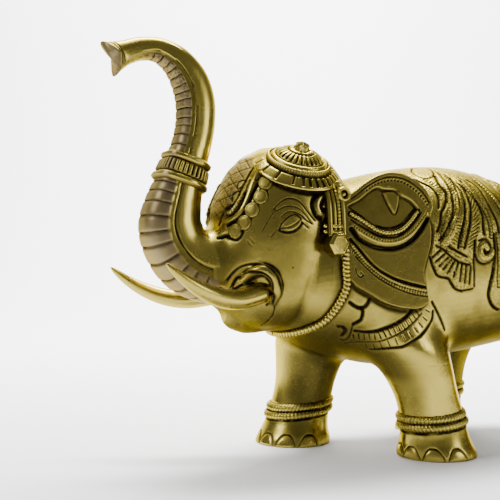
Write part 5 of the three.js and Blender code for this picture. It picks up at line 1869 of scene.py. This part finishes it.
def ear_mesh(columns, rows):
    """The left ear: its carved face, a rounded edge and a back that thickens downwards."""
    flat = patch(EAR_LOW, EAR_TOP, EAR_FRONT, EAR_REAR, columns, rows)
    face = on_ear(flat.reshape(-1, 2)).reshape(rows, columns, 3)
    number = np.arange(rows * columns).reshape(rows, columns)
    edge = np.concatenate([number[0, :-1], number[:-1, -1], number[-1, :0:-1], number[:0:-1, 0]])
    rim = face.reshape(-1, 3)[edge]
    middle = rim.mean(0)
    top = np.interp(rim[:, 0], EAR_TOP[:, 0], EAR_TOP[:, 1])
    back = np.minimum(rim[:, 1] + EAR_EDGE + 0.55 * np.maximum(top - rim[:, 2], 0), -8)
    loops = []
    outward = unit((rim - middle) * (1, 0, 1))
    for share, swell in EAR_LOOPS:
        loop = rim + swell * outward
        loop[:, 1] = rim[:, 1] + share * (back - rim[:, 1])
        loops.append(loop)
    count = len(edge)
    points = np.vstack([face.reshape(-1, 3), *loops, loops[-1].mean(0)])
    first = rows * columns
    ahead = (np.arange(count) + 1) % count
    around_edge = np.stack([edge, first + np.arange(count), first + ahead, edge[ahead]], -1)
    quads = [grid_faces(rows, columns, wrap=False), around_edge]
    quads.append(grid_faces(len(loops), count, first=first)[:, ::-1])
    last = first + (len(loops) - 1) * count
    fan = np.stack([last + np.arange(count), np.full(count, len(points) - 1), last + ahead], -1)
    quads = np.vstack(quads)
    normals = corner_normals(points, quads)
    if normals[first // 2, 1] > 0:
        quads, fan, normals = quads[:, ::-1], fan[:, ::-1], -normals
    relief = Relief(points, normals)
    carve_ear(relief)
    relief.height[first:] = 0
    u = np.minimum(np.arange(columns), np.arange(columns)[::-1]) * 50 / columns
    v = np.minimum(np.arange(rows), np.arange(rows)[::-1]) * 55 / rows
    inner = ease(0, 1.2, np.minimum(u[None, :], v[:, None])).ravel()
    relief.height[:first] *= inner
    points = points + normals * relief.height[:, None]
    return points, quads, fan, relief.dark


class ELEPHANT_OT_ears(bpy.types.Operator):
    """Ears with their rims and bead rows."""

    bl_idname = "elephant.ears"
    bl_label = "Ears"

    def execute(self, context):
        points, quads, fan, dark = ear_mesh(*EAR_MESHES["left"])
        make_piece("ear_left", points, quads, fan, dark)
        points, quads, fan, dark = ear_mesh(*EAR_MESHES["right"])
        make_piece("ear_right", mirrored(points), quads[:, ::-1], fan[:, ::-1], dark)
        return {"FINISHED"}


class ELEPHANT_OT_stage(bpy.types.Operator):
    """Pale floor, soft lights and the camera at the photograph's angle."""

    bl_idname = "elephant.stage"
    bl_label = "Stage"

    def execute(self, context):
        stage = context.scene.elephant_stage
        scene = context.scene
        forward = Vector((math.sin(CAMERA_TURN), math.cos(CAMERA_TURN), 0))
        aside = Vector((math.cos(CAMERA_TURN), -math.sin(CAMERA_TURN), 0))

        def spot(right, ahead, up):
            return right * aside + ahead * forward + Vector((0, 0, up))

        turns = [math.radians(5 * k) for k in range(19)]
        bend = [
            (SWEEP_AT + SWEEP_BEND * math.sin(t), SWEEP_BEND * (1 - math.cos(t))) for t in turns
        ]
        profile = [(-SWEEP_FRONT, 0), *bend, (SWEEP_AT + SWEEP_BEND, SWEEP_TOP)]
        sides = (-SWEEP_SIDE, SWEEP_SIDE)
        points = [spot(side, ahead, up) for ahead, up in profile for side in sides]
        strips = [(2 * k, 2 * k + 1, 2 * k + 3, 2 * k + 2) for k in range(len(profile) - 1)]
        mesh = bpy.data.meshes.new("floor")
        mesh.from_pydata(points, [], strips)
        mesh.polygons.foreach_set("use_smooth", np.ones(len(strips), bool))
        ground = bpy.data.objects.new("floor", mesh)
        scene.collection.objects.link(ground)
        pale = bpy.data.materials.new("pale floor")
        pale.use_nodes = True
        shader = pale.node_tree.nodes["Principled BSDF"]
        shader.inputs["Base Color"].default_value = (*stage.floor, 1)
        shader.inputs["Roughness"].default_value = 0.9
        mesh.materials.append(pale)
        world = scene.world or bpy.data.worlds.new("studio")
        scene.world = world
        world.use_nodes = True
        world.node_tree.nodes["Background"].inputs["Color"].default_value = (1, 1, 1, 1)
        world.node_tree.nodes["Background"].inputs["Strength"].default_value = stage.room
        for name, place, target, width, setting, share in LAMPS:
            light = bpy.data.lights.new(name, "AREA")
            light.size = width
            light.energy = share * getattr(stage, setting)
            lamp = bpy.data.objects.new(name, light)
            lamp.location = spot(*place)
            towards = spot(*target) - lamp.location
            lamp.rotation_euler = towards.to_track_quat("-Z", "Y").to_euler()
            scene.collection.objects.link(lamp)
        camera = bpy.data.cameras.new("camera")
        camera.lens = CAMERA_LENS
        camera.sensor_width = CAMERA_SENSOR
        camera.shift_y = CAMERA_SHIFT
        camera.clip_start = 0.01
        eye = bpy.data.objects.new("camera", camera)
        eye.location = CAMERA_PLACE
        eye.rotation_euler = (math.radians(90), 0, -CAMERA_TURN)
        scene.collection.objects.link(eye)
        scene.camera = eye
        return {"FINISHED"}


def colour(name, description, value):
    """A colour that the user can change."""
    return bpy.props.FloatVectorProperty(
        name=name, description=description, subtype="COLOR", default=value, min=0, max=1)


def size_setting(name, description, value):
    """A length in metres that the user can change."""
    return bpy.props.FloatProperty(
        name=name, description=description, default=value, min=0, unit="LENGTH", precision=5)


class SizeSettings(bpy.types.PropertyGroup):
    """Sizes of the chasing."""

    cloth_rise: size_setting("Cloth rise", "How far the saddle cloth stands proud", 0.0008)
    net_depth: size_setting("Net depth", "Depth of the lines on the net of the cap", 0.0003)
    collar_rise: size_setting("Collar rise", "How far the trunk's collar stands proud", 0.0022)
    rung_pitch: size_setting("Rung distance", "Distance between the rungs of the trunk", 0.0057)
    rope_pitch: size_setting("Rope twist", "Distance between the grooves of the rope collar", 0.0023)
    anklet_rise: size_setting("Anklet rise", "How far the anklets stand proud", 0.0022)
    nail_height: size_setting("Nail height", "Height of the arch of each nail", 0.0072)


class BrassSettings(bpy.types.PropertyGroup):
    """Colours of the metal."""

    brass: colour("Brass", "Polished metal", (0.42, 0.335, 0.066))
    tarnish: colour("Tarnish", "Metal between the polished places", (0.24, 0.19, 0.035))
    edge: colour("Glancing tint", "Tint of the metal seen at a glancing angle", (0.72, 0.62, 0.36))
    dull: colour("Dull metal", "Greyish metal on the flat of the trunk", (0.24, 0.185, 0.09))
    # Dark colour of the patina, also used for the painted shade
    patina_and_painted_shade: colour("Patina and painted shade", "Dark metal in the carving", (0.01, 0.007, 0.003))


class StageSettings(bpy.types.PropertyGroup):
    """Light around the statue."""

    floor: colour("Floor", "Pale floor", (0.9, 0.9, 0.9))
    backdrop_power: bpy.props.FloatProperty(
        name="Backdrop light", description="Light on the sweep", default=190, unit="POWER")
    top_power: bpy.props.FloatProperty(
        name="Top light", description="Soft light from above", default=5.5, unit="POWER")
    side_power: bpy.props.FloatProperty(
        name="Side light", description="Soft light from the left", default=8, unit="POWER")
    room: bpy.props.FloatProperty(
        name="Room light", description="Brightness all around", default=0.2)


OPERATORS = (
    ELEPHANT_OT_body,
    ELEPHANT_OT_head,
    ELEPHANT_OT_feet,
    ELEPHANT_OT_trunk,
    ELEPHANT_OT_crown,
    ELEPHANT_OT_cords,
    ELEPHANT_OT_ears,
    ELEPHANT_OT_tail,
    ELEPHANT_OT_stage,
)


class ELEPHANT_PT_panel(bpy.types.Panel):
    """Buttons that make each group of pieces."""

    bl_label = "Brass Elephant"
    bl_idname = "ELEPHANT_PT_panel"
    bl_space_type = "VIEW_3D"
    bl_region_type = "UI"
    bl_category = "Elephant"

    def draw(self, context):
        for operator in OPERATORS:
            self.layout.operator(operator.bl_idname)


CLASSES = (SizeSettings, BrassSettings, StageSettings, *OPERATORS, ELEPHANT_PT_panel)


def register():
    for item in CLASSES:
        bpy.utils.register_class(item)
    bpy.types.Scene.elephant_sizes = bpy.props.PointerProperty(type=SizeSettings)
    bpy.types.Scene.elephant_brass = bpy.props.PointerProperty(type=BrassSettings)
    bpy.types.Scene.elephant_stage = bpy.props.PointerProperty(type=StageSettings)


def unregister():
    del bpy.types.Scene.elephant_stage
    del bpy.types.Scene.elephant_brass
    del bpy.types.Scene.elephant_sizes
    for item in reversed(CLASSES):
        bpy.utils.unregister_class(item)


def corners(box):
    """The lowest and highest corner of a box as plain lists."""
    return [list(box[0]), list(box[1])]


def main():
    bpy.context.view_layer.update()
    register()
    for operator in OPERATORS:
        group, name = operator.bl_idname.split(".")
        getattr(getattr(bpy.ops, group), name)()


if __name__ == "__main__":
    main()
